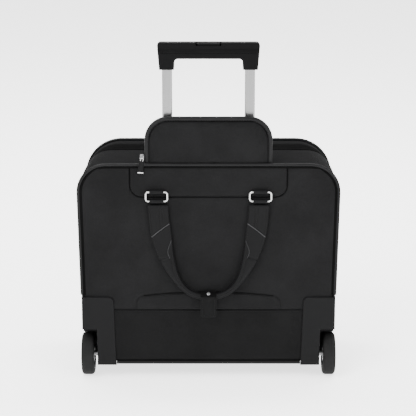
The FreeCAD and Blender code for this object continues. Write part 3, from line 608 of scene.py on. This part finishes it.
def yoke_half(z):
    """Half width of the yoke, whose lower corners are rounded."""
    rise = YOKE_LOW + YOKE_CORNER - z
    return YOKE_HALF - (YOKE_CORNER - chord(rise, YOKE_CORNER) if rise > 0 else 0)


def patch_half(z):
    """Half width of the arched patch: steep sides, round shoulders and a shallow arch above them."""
    low, high = 0.0, PATCH_HALF
    for _ in range(30):
        middle = (low + high) / 2
        if patch_gap(middle, z) < 0:
            low = middle
        else:
            high = middle
    return max(low, 2 * MM)


def yoke_path(inset, down, bends, bottom, lift):
    """A line along the yoke's edge: down its left side, across below and up again."""
    radius = YOKE_CORNER - inset
    centre_x, centre_z = YOKE_CORNER - YOKE_HALF, YOKE_CORNER + YOKE_LOW
    path = [(inset - YOKE_HALF, top_z - (2 + 3 * i) * MM) for i in range(down)]
    for a in steps(0, math.pi / 2, bends)[1:]:
        path.append((centre_x - radius * math.cos(a), centre_z - radius * math.sin(a)))
    path += [(x * MM, YOKE_LOW + inset) for x in bottom]
    return [near_point(x, z, lift) for x, z in path + [(-x, z) for x, z in reversed(path[:-1])]]


def arch_path(half, inset, lift):
    """A line along the arched patch's upper edge."""
    return [near_point(x, patch_crown(x) - inset, lift) for x in steps(-half, half, 60)]


def build_near_face():
    nodes = ["near_panel", "near_yoke", "near_arch_patch", "near_kick_panel"]
    full_face("near_face_cloth", NEAR_CORNER, near_point, "case", nodes, 0.85, seams=(YOKE_LOW, SEAM_Z),
              fine=(YOKE_HALF,), wells=True)
    heights = [YOKE_LOW + YOKE_CORNER * (1 - math.cos(a)) for a in steps(0, math.pi / 2, 16)]
    heights += ordered(YOKE_LOW + YOKE_CORNER + 1 * MM, top_z - 0.4 * MM)
    overlay("near_yoke_cloth", [(z, yoke_half(z)) for z in heights], 0.45 * MM, "panel_fabric", 2.4 * MM)
    rows = []
    for z in ordered(base_z + 3.2 * MM, SEAM_Z):
        wide = edge_half(z, NEAR_CORNER) - 0.3 * MM
        rows.append((z, min(wide, well_x - 1 * MM) if z < WELL_TOP else wide))
    overlay("near_kick_cloth", rows, 0.8 * MM, "body_fabric")
    low, high = SEAM_Z + 0.5 * MM, PATCH_TOP - 0.2 * MM
    heights = [low + (high - low) * math.sin(a) for a in steps(0, math.pi / 2, 26)]
    overlay("near_patch_cloth", [(z, patch_half(z)) for z in heights], 0.5 * MM, "panel_fabric")

    stitches("near_yoke_stitch_upper", yoke_path(2 * MM, 11, 8, range(-90, 1, 30), 0.35 * MM), -BACK, "case")
    kick = [near_point(x * MM, SEAM_Z - 2.2 * MM, 0.9 * MM) for x in range(-150, 151, 10)]
    stitches("near_kick_stitch", kick, -BACK, "case")
    stitches("near_arch_stitch", arch_path(104 * MM, 2.6 * MM, 0.9 * MM), -BACK, "case")
    # a dark cord laid in the groove where two panels are sewn together: painted shade for the shadow in the
    # seam
    seam_shadows = (("near_yoke_seam_shadow", yoke_path(-0.5 * MM, 10, 12, range(-96, 1, 12), 1.1 * MM)),
               ("near_arch_seam_shadow", arch_path(106 * MM, -0.5 * MM, 1.1 * MM)))
    for name, path in seam_shadows:
        Builder().cord(path, 0.6 * MM, sides=8).make(name, "webbing", "case")


# ---- gussets
def gusset(name, node, corner, ys, bulge, body, wells=False, sag=None):
    """Band of padded cloth that follows the case outline between two depths."""
    before = []
    if wells:
        before = [y for y in ys if y < well_y] + [well_y - 0.3 * MM]
        ys = [well_y + 0.3 * MM] + [y for y in ys if y > well_y + 1 * MM]
    places = [(y, well_outline(corner), True) for y in before] + [(y, outline(corner), False) for y in ys]
    rings_out, rings_in = [], []
    for j, (y, loop, well) in enumerate(places):
        out_row, in_row = [], []
        for x, z, nx, nz in loop:
            p = Vector((x, y, z))
            wave = 0.5 * MM * soft_noise(p, 11, 2.0) + 0.3 * MM * soft_noise(p, 30, 7.0)
            grow = bulge(y) + wave * min(1.0, min(j, len(places) - 1 - j) / 3)
            if nz > 0.5 and sag:
                grow -= sag(x, y)
            if well and inside_well(x, z - 0.1 * MM):
                grow = 0.0
            normal = Vector((nx, 0, nz))
            out_row.append(p + normal * grow)
            in_row.append(p - normal * WALL)
        rings_out.append(out_row)
        rings_in.append(in_row)
    # the outer skin, the rear edge, the inner skin and the front edge, closed into one ring
    builder = Builder()
    builder.grid(rings_out + rings_in[::-1] + rings_out[:1], wrap=True)
    builder.make(name, "body_fabric", body, [node], 0.8, material=GUSSET)


def build_main_body():
    start, end = near_y + FACE_INSET, zip_near_y

    def bulge(y):
        t = (y - start) / (end - start)
        return 2.2 * MM * math.sin(math.pi * t) ** 1.1 - 0.4 * MM * (1 - t)

    gusset("main_body_cloth", "main_shell", NEAR_CORNER, steps(start, end, 22), bulge, "case", wells=True)


def cover_bulge(y):
    """How far the cover's gusset stands out, between the zip and the far face."""
    share = max(0.0, (y - zip_far_y) / (far_y - FACE_INSET - zip_far_y))
    return 2.2 * MM * math.sin(math.pi * share) ** 0.7


def cover_sag(x, y):
    """The dip of the cover's top beside the zip."""
    along = 1 - smoothstep(y - zip_far_y, 4 * MM, 34 * MM)
    return 3.4 * MM * along * smoothstep(HALF_TOP - abs(x), 0, 90 * MM)


def build_cover():
    ys = steps(zip_far_y, far_y - FACE_INSET, 12)
    gusset("cover_gusset_cloth", "cover_shell", FAR_CORNER, ys, cover_bulge, "cover", sag=cover_sag)
    full_face("far_face_cloth", FAR_CORNER, far_point, "cover", [], 0.8, seams=(POCKET_ZIP_Z,), fold=145 * MM)


def build_piping():
    """Round cord in a sewn sleeve around both faces; the near one stops at the corner guards."""
    radius = 2.5 * MM
    for word, corner, y, body in (("near", NEAR_CORNER, near_y + 1.5 * MM, "case"),
                                  ("far", FAR_CORNER, far_y - 1.5 * MM, "cover")):
        rail = [(Vector((x + nx * radius, y, z + nz * radius)), Vector((nx, 0, nz)))
                for x, z, nx, nz in outline(corner, 4 * MM)]
        runs = [rail + rail[:1]]
        if word == "near":
            free = [abs(p.x) < GUARD_X or p.z > GUARD_TOP for p, normal in rail]
            stop = free.index(False)
            again = free.index(True, stop)
            lower = rail[1 - stop:] + rail[:stop]
            height, down = lower[0][0].z, lower[0][1]
            ends = [(Vector((side * (GUARD_X - 0.1 * MM), y, height)), down) for side in (-1, 1)]
            runs = [rail[again:1 - again], ends[:1] + lower + ends[1:]]
        # the flange is the welt sewn into the seam, in dark webbing: partly real, partly painted shade for
        # the shaded line beside the cord
        sleeve, flange = Builder(), Builder()
        for run in runs:
            rows = [[p + normal * a * MM + BACK * b * MM
                     for a, b in ((-1.2, -0.6), (-6.0, -0.6), (-6.0, 0.6), (-1.2, 0.6))] for p, normal in run]
            if word == "near":
                sleeve.cord([p for p, normal in run], radius, sides=14)
                flange.bar(rows)
            else:
                sleeve.cord([p for p, normal in rail], radius, closed=True, sides=14)
                flange.grid(rows, wrap=True)
        sleeve.make(word + "_piping_cord", "piping", body, [word + "_piping"])
        flange.make(word + "_piping_flange", "webbing", body)


def pouch(name, node, body, wall, swell):
    """A soft bag open at the top, filling the box of its CAD node, with crowned sides."""
    low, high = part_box(node)
    skins = []
    for inset in (0.0, wall):
        half, deep = (high.x - low.x) / 2 - inset, (high.y - low.y) / 2 - inset
        rows = []
        for f in steps(0, 1, 26):
            full = math.sin(math.pi * min(1.0, f * 1.15)) if f < 0.87 else 0.0
            z = max(low.z + (high.z - low.z) * f, low.z + inset)
            mid = Vector(((low.x + high.x) / 2, (low.y + high.y) / 2, z))
            ring = []
            for a in turn(64):
                u, v = squared(a, 0.25, 0.5)
                crown = 1 - swell * (1 - full * (1 - u ** 4)) / deep
                p = mid + Vector((half * u, deep * v * crown, 0))
                ring.append(p + BACK * 0.4 * MM * soft_noise(p, 20, 4.0))
            rows.append(ring)
        skins.append(rows)
    outer, inner = skins
    bag = Builder()
    bag.bar(outer + inner[::-1])
    bag.make(name, "lining", body, [node], 0.6)


# ---- zips
def zip_teeth(name, path, normal_at, body, across=None):
    """Coil teeth along a path."""
    total, at = walker(path)
    builder = Builder()
    long, wide, high = 0.7 * MM, 1.1 * MM, 0.9 * MM
    s = TOOTH_PITCH / 2
    while s < total:
        p, run = at(s)
        n = normal_at(p)
        side = run.cross(n).normalized() if across is None else across
        foot = [p + run * a * long + side * b * wide for a, b in ((-1, -1), (1, -1), (1, 1), (-1, 1))]
        builder.bar([foot, [q + n * high * 0.7 for q in foot], [p + n * high + (q - p) * 0.55 for q in foot]])
        s += TOOTH_PITCH
    builder.make(name, "webbing", body, material=ZIP_COIL, smooth=False)


def zip_line(corner):
    """The part of the outline that the main zip follows, from one foot over the top to the other."""
    line = [q for q in outline(corner) if q[1] > base_z + ZIP_FOOT]
    return sorted(line, key=lambda q: math.atan2(-q[0], q[1] - ZIP_CENTRE_Z))


def sunk(line, y, depth, rise=0.0):
    """Points along the outline at one y, drawn in by a depth, which is less at the top by the rise."""
    depths = [depth - rise * max(0.0, nz) for x, z, nx, nz in line]
    return [Vector((x - nx * d, y, z - nz * d)) for (x, z, nx, nz), d in zip(line, depths)]


def zip_normal(p):
    """Outwards from a block inside the case, so that the teeth turn with its corners."""
    x = p.x - max(-160 * MM, min(160 * MM, p.x))
    z = p.z - max(90 * MM, min(312 * MM, p.z))
    return Vector((x, 0, z + 1e-9)).normalized()


def build_main_zip():
    """Two tapes sunk in the groove around the top and sides, and the coil where they meet."""
    line = zip_line(NEAR_CORNER)
    for word, y0, y1, body, side in (("near", zip_near_y, zip_mid_y - ZIP_GAP, "case", -1),
                                     ("far", zip_mid_y + ZIP_GAP, zip_far_y, "cover", 1)):
        ys = steps(y0, y1, 6)
        slope = [(i / 6 if side > 0 else 1 - i / 6) ** 2 for i in range(7)]
        outer = [sunk(line, y, ZIP_DEPTH - 1.2 * MM * k, ZIP_RISE) for y, k in zip(ys, slope)]
        inner = [sunk(line, y, 5.5 * MM) for y in ys]
        if word == "near":         # a lip that runs on under the far tape
            lip_y = zip_mid_y + 2 * MM
            outer += [sunk(line, y, 6 * MM) for y in (y1, lip_y)]
            inner += [sunk(line, y, 7 * MM) for y in (y1 - 1 * MM, lip_y)]
        Builder().slab(outer, inner).make("main_zip_tape_" + word, "webbing", body, ["main_zip_" + word])
        path = sunk(line, zip_mid_y + side * 1.5 * MM, ZIP_DEPTH, ZIP_RISE)
        zip_teeth("main_zip_coil_" + word, path, zip_normal, body, across=BACK)


def build_zip_shade_band():
    """A dark band along the cover's edge beside the zip, laid on the gusset as painted shade for the shadowed
    dip there.
    """
    rows, under = [], []
    profile = ((-0.3, -2.0), (-0.3, 0.5), (0.6, 1.1), (5, 1.2), (10, 1.3), (15, 1.4), (18.4, 1.2), (19, 0.2))
    for off, lift in profile:
        y = zip_far_y + off * MM
        line, back = [], []
        for x, z, nx, nz in zip_line(FAR_CORNER):
            grow = cover_bulge(y) + lift * MM - (cover_sag(x, y) if nz > 0.5 else 0)
            line.append(Vector((x + nx * grow, y, z + nz * grow)))
            back.append(line[-1] - Vector((nx, 0, nz)) * 2.6 * MM)
        rows.append(line)
        under.append(back)
    Builder().slab(rows, under).make("cover_zip_shade_band", "webbing", "cover")


# ---- carry handles
def rolled(t):
    """How far the strap has rolled up into the grip."""
    return smoothstep(t, 0.18, 0.73)


def handle_line(t):
    """Centre line of the right half of a carry handle: 0 at the ring, 1 at the lowest place."""
    angle = t * math.pi / 2
    x = HANDLE_X * math.cos(angle) ** 0.78 if t < 1 else 0.0
    return x, HANDLE_BOTTOM + (HANDLE_TOP - HANDLE_BOTTOM) * (1 - math.sin(angle) ** 1.15)


def handle_place(t, side, face):
    """Centre, direction across, half width and half thickness at a place on a handle."""
    x, z = handle_line(t)
    ahead, behind = handle_line(min(1.0, t + 0.01)), handle_line(max(0.0, t - 0.01))
    run = Vector((side * (ahead[0] - behind[0]), 0, ahead[1] - behind[1])).normalized()
    if t >= 1.0:
        run = RIGHT * -side
    out, wide, thick = [a + (b - a) * rolled(t) for a, b in ((RING_OUT, HANDLE_OUT), (STRAP_HALF, GRIP_R),
                                                             (STRAP_THICK, GRIP_R))]
    return Vector((side * x, off_wall(face, out), z)), Vector((-run.z, 0, run.x)) * side, wide, thick


def handle_surface(t, side, face, u, lift=0.0):
    """Point on the outer side of the handle: u runs from -1 (inner edge) to 1 (outer edge)."""
    centre, across, wide, thick = handle_place(t, side, face)
    flat = math.sqrt(max(0, 1 - abs(u) ** (8 - 6 * rolled(t))))
    return centre + across * u * wide + BACK * face * (thick * flat + lift)


def handle_rings(t0, t1, count, side, face):
    """Sections of a handle: a flat band that rounds off into the rolled grip."""
    rows = []
    for t in steps(t0, t1, count):
        centre, across, wide, thick = handle_place(t, side, face)
        power = 0.32 + 0.68 * rolled(t)
        shape = [squared(a, power, power) for a in turn(32)]
        rows.append([centre + across * u * wide + BACK * face * v * thick for u, v in shape])
    return rows


def build_handle(word, face, body):
    """Both halves of a carry handle: flat stitched legs that fold into a rolled grip."""
    legs = Builder()
    for side in (-1, 1):
        legs.bar(handle_rings(0.0, WRAP_START, 25, side, face))
        ring_loop(legs, side, face, RING_LOW_BAR)
    legs.make(word + "_handle_legs", "strap_fabric", body, [word + "_handle_strap"])
    right, left = [handle_rings(WRAP_START, 1.0, 24, side, face) for side in (1, -1)]
    roll = Builder().bar(right + left[-2::-1])
    roll.make(word + "_handle_roll", "strap_fabric", body, [word + "_handle_grip"])
    for side, name in ((-1, "left"), (1, "right")):
        fold_strip(word + "_handle_fold_" + name, side, face, body)
        end_patch(word + "_handle_patch_" + name, side, face, body)
        for edge, u in (("inner", -0.84), ("outer", 0.84)):
            path = [handle_surface(t, side, face, u, 0.05 * MM) for t in steps(0.16, WRAP_START, 30)]
            stitches("%s_leg_stitch_%s_%s" % (word, name, edge), path, BACK * face, body)


def ring_loop(builder, side, face, z):
    """Strap loop around a ring bar, drawn as a flat band bent round the wire."""
    centre = Vector((side * RING_X, off_wall(face, RING_OUT), z))
    inner = RING_WIRE / MM + 0.3
    outer = inner + 1.5
    rows = [[centre + Vector((x, r * math.cos(a), r * math.sin(a))) * MM for a in turn(20)]
            for x, r in ((-LOOP_HALF, inner), (-LOOP_HALF, outer - 0.25), (0.6 - LOOP_HALF, outer),
                         (LOOP_HALF - 0.6, outer), (LOOP_HALF, outer - 0.25), (LOOP_HALF, inner))]
    builder.grid(rows + rows[:1], wrap=True)


def fold_edge(t):
    """How far across the strap the folded flap reaches: -1 is the inner edge."""
    if t < 0.39:
        return -0.96 + 0.66 * smoothstep(t, 0.285, 0.39)
    return -0.30 - 0.14 * math.sin(math.pi * smoothstep(t, 0.39, 0.52)) + 0.42 * smoothstep(t, 0.5, 0.75)


def fold_strip(name, side, face, body):
    """The strap's inner edge, folded over the front where the leg rolls into the grip."""
    top, low = [], []
    for t in steps(FOLD_START, 1.0, 70):
        thick = 1.15 * MM * smoothstep(t, FOLD_START, FOLD_START + 0.03)
        us = steps(-0.98, fold_edge(t), 8)
        top.append([handle_surface(t, side, face, u, thick * (1 - abs(k / 4 - 1) ** 6 * 0.6))
                    for k, u in enumerate(us)])
        low.append([handle_surface(t, side, face, u, -0.3 * MM) for u in us])
    Builder().slab(top, low).make(name, "strap_fabric", body)
    # the lighter cord along the start of the flap's free edge is a painted highlight
    path = [handle_surface(t, side, face, fold_edge(t), 0.75 * MM) for t in steps(0.3, 0.43, 23)]
    Builder().cord(path, 0.55 * MM, sides=8).make(name + "_edge", "strap_fabric", body, material=FOLD_HIGHLIGHT)
    line = [handle_surface(t, side, face, fold_edge(t) - 0.22, 1.15 * MM) for t in steps(0.40, 0.96, 40)]
    stitches(name + "_stitch", line, BACK * face, body)


def end_patch(name, side, face, body):
    """Reinforcing patch at a leg's top, cut on a slant, with two rows of stitches and a painted highlight
    along its slanted edge.
    """
    def at(u, f, lift):
        reach = 0.164 + 0.081 * (u + 1) / 2
        return handle_surface(0.004 + reach * f, side, face, u * 0.97, lift)

    top, low = [], []
    wide, long = 48, 18
    us = steps(-1, 1, wide)
    for j, f in enumerate(steps(0, 1, long)):
        line = []
        for i, u in enumerate(us):
            rim = min(i, wide - i, j, long - j)
            groove = max(math.exp(-((u - seam) / 0.035) ** 2) for seam in (-0.34, -0.08, 0.8))
            line.append(at(u, f, (0.5, 0.9, 1.2 - groove)[min(rim, 2)] * MM))
        top.append(line)
        low.append([at(u, f, -0.3 * MM) for u in us])
    Builder().slab(top, low).make(name, "strap_fabric", body)
    # the lighter cord along the slanted edge is a painted highlight
    path = [at(u, 1.0, 0.75 * MM) for u in steps(-1, 1, 20)]
    Builder().cord(path, 0.75 * MM, sides=8).make(name + "_edge", "strap_fabric", body, material=PATCH_EDGE_HIGHLIGHT)
    for mark, u in (("a", -0.34), ("b", -0.08)):
        path = [at(u, f / 20, 0.3 * MM) for f in range(1, 20)]
        stitches(name + "_stitch_" + mark, path, BACK * face, body)


def build_anchor(word, face, body):
    """Loops sewn under the yoke that hold the rings."""
    builder = Builder()
    h = LOOP_HALF
    for side in (-1, 1):
        ring_loop(builder, side, face, RING_TOP_BAR)
        rows = []
        for z, out, thick in ((-1, 3.4, 3.2), (1, 3.2, 3.2), (2.4, 2.8, 2.8), (3.4, 1.6, 1.6)):
            rows.append([Vector((side * RING_X + x * MM, off_wall(face, y * MM), RING_TOP_BAR + z * MM))
                         for x, y in ((-h, out - thick), (-h, out - 0.4), (0.6 - h, out),
                                      (h - 0.6, out), (h, out - 0.4), (h, out - thick))])
        builder.bar(rows)
    builder.make(word + "_ring_loops", "strap_fabric", body, [word + "_ring_anchors"])


def strip_row(half, yi, zi, yo, zo):
    """Cross section of a band whose inner and outer faces pass the two given points."""
    soft = half - 0.6 * MM
    mid_y, mid_z = (yi + yo) / 2, (zi + zo) / 2
    return [Vector(p) for p in ((-half, mid_y, mid_z), (-soft, yi, zi), (0, yi, zi), (soft, yi, zi),
                                (half, mid_y, mid_z), (soft, yo, zo), (0, yo, zo), (-soft, yo, zo))]


def build_keeper():
    """Snap strap round the grip: a dark loop, a stitched tail in front and a stud on top."""
    half = 13 * MM
    y = near_y - HANDLE_OUT
    inner = GRIP_R + 1.45 * MM
    outer = inner + 1.8 * MM
    rows = []
    for a in steps(0.02 * math.pi, 1.98 * math.pi, 40):
        c, s = math.cos(a), math.sin(a)
        rows.append(strip_row(half - 0.5 * MM, y - inner * c, HANDLE_BOTTOM + inner * s,
                              y - outer * c, HANDLE_BOTTOM + outer * s))
    Builder().bar(rows).make("near_keeper_loop", "webbing", "keeper", ["near_keeper"])

    front = y - outer
    high = HANDLE_BOTTOM + 2.5 * MM
    rows = []
    for f in steps(0, 1, 40):
        z = high + (KEEPER_LOW - high) * f
        narrow = half - 3 * MM * (1 - math.sqrt(1 - max(0.0, (f - 0.9) / 0.1) ** 2))
        roll = 1.5 * MM * max(0.0, 1 - f / 0.12) ** 2
        thin = 1.9 * MM if 0 < f < 1 else 0.9 * MM
        rows.append(strip_row(narrow, front + 0.9 * MM, z, front + 0.9 * MM - thin + roll, z))
    tail = Builder().bar(rows)
    tail.make("near_keeper_tail", "strap_fabric", "keeper", material=SLOT_MATERIALS["body_fabric"])
    inset = 3.0 * MM
    left = [(inset - half, high - 4 * MM), (inset - half, KEEPER_LOW + 5 * MM),
            (inset - half + 2 * MM, KEEPER_LOW + inset)]
    line = [Vector((x, front - 1.0 * MM, z)) for x, z in left + [(-x, z) for x, z in reversed(left)]]
    stitches("near_keeper_stitch", line, -BACK, "keeper", length=2.4 * MM, gap=0.9 * MM, radius=0.34 * MM)

    axis = Vector((0, -math.cos(0.9), math.sin(0.9)))
    centre = Vector((0, y, HANDLE_BOTTOM)) + axis * outer
    up = axis.cross(RIGHT)
    rows = [[centre + (RIGHT * math.cos(a) + up * math.sin(a)) * r * MM + axis * h * MM for a in turn(28)]
            for r, h in ((3.2, -0.5), (3.2, 0.2), (3.0, 0.4), (2.6, 0.5), (2.3, 0.7), (1.9, 0.85),
                         (1.0, 0.9), (0.2, 0.9))]
    Builder().bar(rows).make("near_keeper_stud", "bright_metal", "keeper", material=DARK_METAL)


# ---- the flaps that cover the handle's opening
def puff(node, name, body, swells, cap, shrink):
    """A padded piece blown up by cloth simulation from its CAD solid; it may only swell one way."""
    obj = add_object(name, frame["nodes"][node].data.copy())
    bpy.context.view_layer.objects.active = obj
    remesh = obj.modifiers.new("remesh", "REMESH")
    remesh.mode = "VOXEL"
    remesh.voxel_size = 4 * MM
    bpy.ops.object.modifier_apply(modifier="remesh")
    for v in obj.data.vertices:
        v.co -= v.normal * shrink
    rest = [v.co.copy() for v in obj.data.vertices]
    cloth = obj.modifiers.new("cloth", "CLOTH")
    cloth.settings.use_pressure = True
    cloth.settings.uniform_pressure_force = 3.0
    cloth.settings.effector_weights.gravity = 0
    cloth.settings.quality = 6
    cloth.settings.tension_stiffness = 18
    cloth.point_cache.frame_start = 1
    cloth.point_cache.frame_end = 20
    for f in range(1, 21):
        bpy.context.scene.frame_set(f)
    bpy.ops.object.modifier_apply(modifier="cloth")
    bpy.context.scene.frame_set(1)
    for v, start in zip(obj.data.vertices, rest):
        move = (v.co - start).dot(swells)
        v.co = start + swells * max(-cap, min(cap, move))
    smooth = obj.modifiers.new("smooth", "SUBSURF")
    smooth.levels = smooth.render_levels = 1
    bpy.ops.object.modifier_apply(modifier="smooth")
    finish_piece(obj, "panel_fabric", body, [node])


def flap_outline(inset):
    """Points (x, z) up the left side of the garage flap, over its rounded top and down again."""
    half = flap_hi.x - inset
    top = flap_hi.z - inset
    corner = 38 * MM - inset
    left = [(-half, z) for z in steps(flap_lo.z, top - corner, 8)[:-1]]
    left += [(corner - half + corner * math.cos(a), top - corner + corner * math.sin(a))
             for a in steps(math.pi, math.pi / 2, 12)]
    middle = [(x, top) for x in steps(corner - half, half - corner, 20)[1:-1]]
    return left + middle + [(-x, z) for x, z in reversed(left)]


def build_garage():
    """The flap in front of the handle, its binding, its zip and the flap behind the handle."""
    puff("garage_flap", "garage_flap_pad", "case", BACK, cap=2.4 * MM, shrink=0.0)
    y = (flap_lo.y + flap_hi.y) / 2
    rows = []
    for (xo, zo), (xi, zi) in zip(flap_outline(0.0), flap_outline(7.2 * MM)):
        a, b = Vector((xo, y, zo)), Vector((xi, y, zi))
        rows.append([(a + b) / 2 + (a - b) / 2 * u + BACK * 4.0 * MM * v
                     for u, v in [squared(angle, 0.6, 0.6) for angle in turn(16)]])
    band = Builder().bar(rows)
    band.make("garage_flap_binding", "webbing", "case", ["garage_binding"], material=SLOT_MATERIALS["piping"])
    stitch = [Vector((x, y - 4.1 * MM, z)) for x, z in flap_outline(6.2 * MM)]
    stitches("garage_flap_stitch", stitch, -BACK, "case")
    low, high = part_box("garage_zip_tape")
    coil = [Vector((x, high.y, z)) for x, z in flap_outline(2.6 * MM)]
    zip_teeth("garage_zip_coil", coil, lambda p: BACK, "case")
    puff("garage_rear_flap", "garage_rear_pad", "rear_flap", UP, cap=2.0 * MM, shrink=0.3 * MM)
    rows = []
    for (xo, zo), (xi, zi) in zip(flap_outline(1.0 * MM), flap_outline(10.0 * MM)):
        a, b = Vector((xo, 0, zo)), Vector((xi, 0, zi))
        front, back = BACK * low.y, BACK * (high.y - 0.3 * MM)
        rows.append([a + front, b + front, b + back, (a + b) / 2 + BACK * high.y, a + back])
    Builder().bar(rows).make("garage_zip_cloth", "webbing", "case", ["garage_zip_tape"])


def rounded_loop(half, z0, z1, corner):
    """Outline (x, z) of an upright rectangle with round corners."""
    points = []
    for cx, cz, a0 in ((half - corner, z0 + corner, -90), (half - corner, z1 - corner, 0),
                       (corner - half, z1 - corner, 90), (corner - half, z0 + corner, 180)):
        for a in steps(math.radians(a0), math.radians(a0 + 90), 5):
            points.append((cx + corner * math.cos(a), cz + corner * math.sin(a)))
    return points


def build_garage_pull():
    """Slider with its bridge, and a tilted leather tab with a metal end bar."""
    low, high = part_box("garage_slider")
    x = (low.x + high.x) / 2
    rows = []
    for y, shrink in ((low.y + 3.6 * MM, 0.9), (low.y + 4.4 * MM, 0.0),
                      (high.y - 0.8 * MM, 0.0), (high.y, 0.9)):
        loop = rounded_loop(3.4 * MM, shrink * MM, high.z - low.z - shrink * MM, 2 * MM)
        rows.append([Vector((x + px * (1 - 0.10 * shrink), y, low.z + pz)) for px, pz in loop])
    bridge = [Vector((x, low.y + out * MM, high.z - down * MM))
              for out, down in ((4, 1.5), (1.2, 2), (0.4, 4), (1.2, 6.4), (4, 7))]
    slider = Builder().bar(rows).cord(bridge, 0.9 * MM, up=RIGHT)
    slider.make("garage_slider_metal", "bright_metal", "garage_zip_slider", ["garage_slider"],
                material=DARK_METAL)

    lean = Vector((-0.13, -0.1, -1)).normalized()
    yaw = Vector((0.93, 0.37, 0))
    side = (yaw - lean * yaw.dot(lean)).normalized()
    face = lean.cross(side).normalized()
    if face.y > 0:
        face = -face
    eye = Vector((x + 0.4 * MM, low.y - 1.7 * MM, high.z - 5.2 * MM))
    ring = [eye + (side * 2.3 * math.cos(a) + lean * (1.6 + 2.6 * math.sin(a))) * MM for a in turn(20)]
    link = Builder().cord(ring, 0.7 * MM, up=face, closed=True, sides=8)
    link.make("garage_pull_link", "bright_metal", "garage_zip_pull")

    front, back = [], []
    for wide, down in ((2.0, 0), (2.6, 0.4), (4.2, 2.4), (4.6, 4), (4.6, 8), (4.6, 12), (4.6, 16), (4.4, 19)):
        line, under = [], []
        for k in range(13):
            u = -1 + k / 6
            rim = 0.0 if 0.62 < abs(u) < 0.98 or down > 15 or down < 3 else -0.35
            lift = 1.0 + rim - (0.4 if abs(u) > 0.98 else 0)
            p = eye + lean * (3.6 + down) * MM + side * wide * u * MM
            line.append(p + face * lift * MM)
            under.append(p - face * 0.8 * MM)
        front.append(line)
        back.append(under)
    tab = Builder().slab(front, back)
    tab.make("garage_pull_tab", "webbing", "garage_zip_pull", ["garage_pull"],
             material=SLOT_MATERIALS["strap_fabric"])
    ends = [eye + lean * 22.6 * MM + side * w * MM + face * 0.1 * MM for w in (-4.9, -4.4, 0, 4.4, 4.9)]
    Builder().cord(ends, 1.25 * MM, up=face).make("garage_pull_end_bar", "bright_metal", "garage_zip_pull")


def build_pocket_zip():
    """Zip across the far face over the pocket slot."""
    def along(count, off, lift):
        """A line at a height above or below the zip's middle."""
        return [far_point(x, POCKET_ZIP_Z + off * MM, lift * MM)
                for x in steps(-POCKET_ZIP_HALF, POCKET_ZIP_HALF, count)]

    for sign, word in ((1, "upper"), (-1, "lower")):
        shape = ((0.2, 0.4), (1.5, 0.8), (8.0, 0.8), (9.0, 0.3), (9.0, -1.2), (0.2, -1.2))
        rows = list(zip(*[along(40, sign * off, lift) for off, lift in shape]))
        Builder().bar(rows).make("far_zip_tape_" + word, "webbing", "cover")
        zip_teeth("far_zip_coil_" + word, along(80, sign * 1.4, 0.7), lambda p: BACK, "cover")
        stitches("far_zip_stitch_" + word, along(80, sign * 7.2, 0.85), BACK, "cover")


# ---- stage
def build_stage():
    """A wide, plain, pale floor."""
    size = 16.0
    mesh = bpy.data.meshes.new("floor")
    corners = [(-size, -size, 0), (size, -size, 0), (size, size, 0), (-size, size, 0)]
    mesh.from_pydata(corners, [], [(0, 1, 2, 3)])
    mesh.materials.append(FLOOR)
    add_object("floor", mesh)


def area_light(name, place, target, size, power):
    light = bpy.data.lights.new(name, "AREA")
    light.shape = "RECTANGLE"
    light.size, light.size_y = size
    light.energy = power
    obj = add_object(name, light)
    obj.location = place
    obj.rotation_euler = (Vector(target) - Vector(place)).to_track_quat("-Z", "Y").to_euler()


def build_lights():
    area_light("key", (-1.5, -2.2, 2.4), (0, 0, 0.25), (1.6, 1.6), 150)
    area_light("fill", (1.9, -1.9, 1.2), (0, 0, 0.25), (1.4, 1.8), 60)
    area_light("top", (0, -0.4, 2.8), (0, -0.1, 0.3), (2.2, 1.4), 18)
    area_light("backdrop", (0, 0.7, 2.6), (0, 2.4, 0.3), (3.0, 1.0), 160)
    world = bpy.data.worlds.new("studio")
    world.use_nodes = True
    world.node_tree.nodes["Background"].inputs["Color"].default_value = (1, 1, 1, 1)
    world.node_tree.nodes["Background"].inputs["Strength"].default_value = 1.25
    bpy.context.scene.world = world


def build_camera():
    """A long lens in front of the near face and above the case, looking slightly down."""
    camera = bpy.data.cameras.new("camera")
    camera.sensor_width = 36
    camera.lens = 131.97
    obj = add_object("camera", camera)
    obj.location = (-0.0008, near_y - 2.393, 0.9026)
    obj.rotation_euler = (math.radians(90 - 14.3), 0, 0)
    bpy.context.scene.camera = obj


# ---- carried-over CAD nodes
def dress_nodes():
    """Every CAD node gets the finish of its slot."""
    for entry in frame["record"]["subparts"]:
        node = frame["nodes"][entry["node"]]
        node.data.materials.clear()
        node.data.materials.append(SLOT_MATERIALS[entry["material_slot"]])


build_camera()
build_lights()
build_stage()
dress_nodes()
build_near_face()
build_main_body()
build_cover()
build_main_zip()
build_zip_shade_band()
build_garage()
build_garage_pull()
build_pocket_zip()
build_piping()
pouch("laptop_sleeve_padding", "laptop_sleeve", "case", 3 * MM, 2.0 * MM)
pouch("far_pocket_lining", "far_pocket_bag", "cover", 2 * MM, 1.0 * MM)
for word, face, wall_body in (("near", NEAR, "case"), ("far", FAR, "cover")):
    build_anchor(word, face, wall_body)
    build_handle(word, face, word + "_handle")
build_keeper()
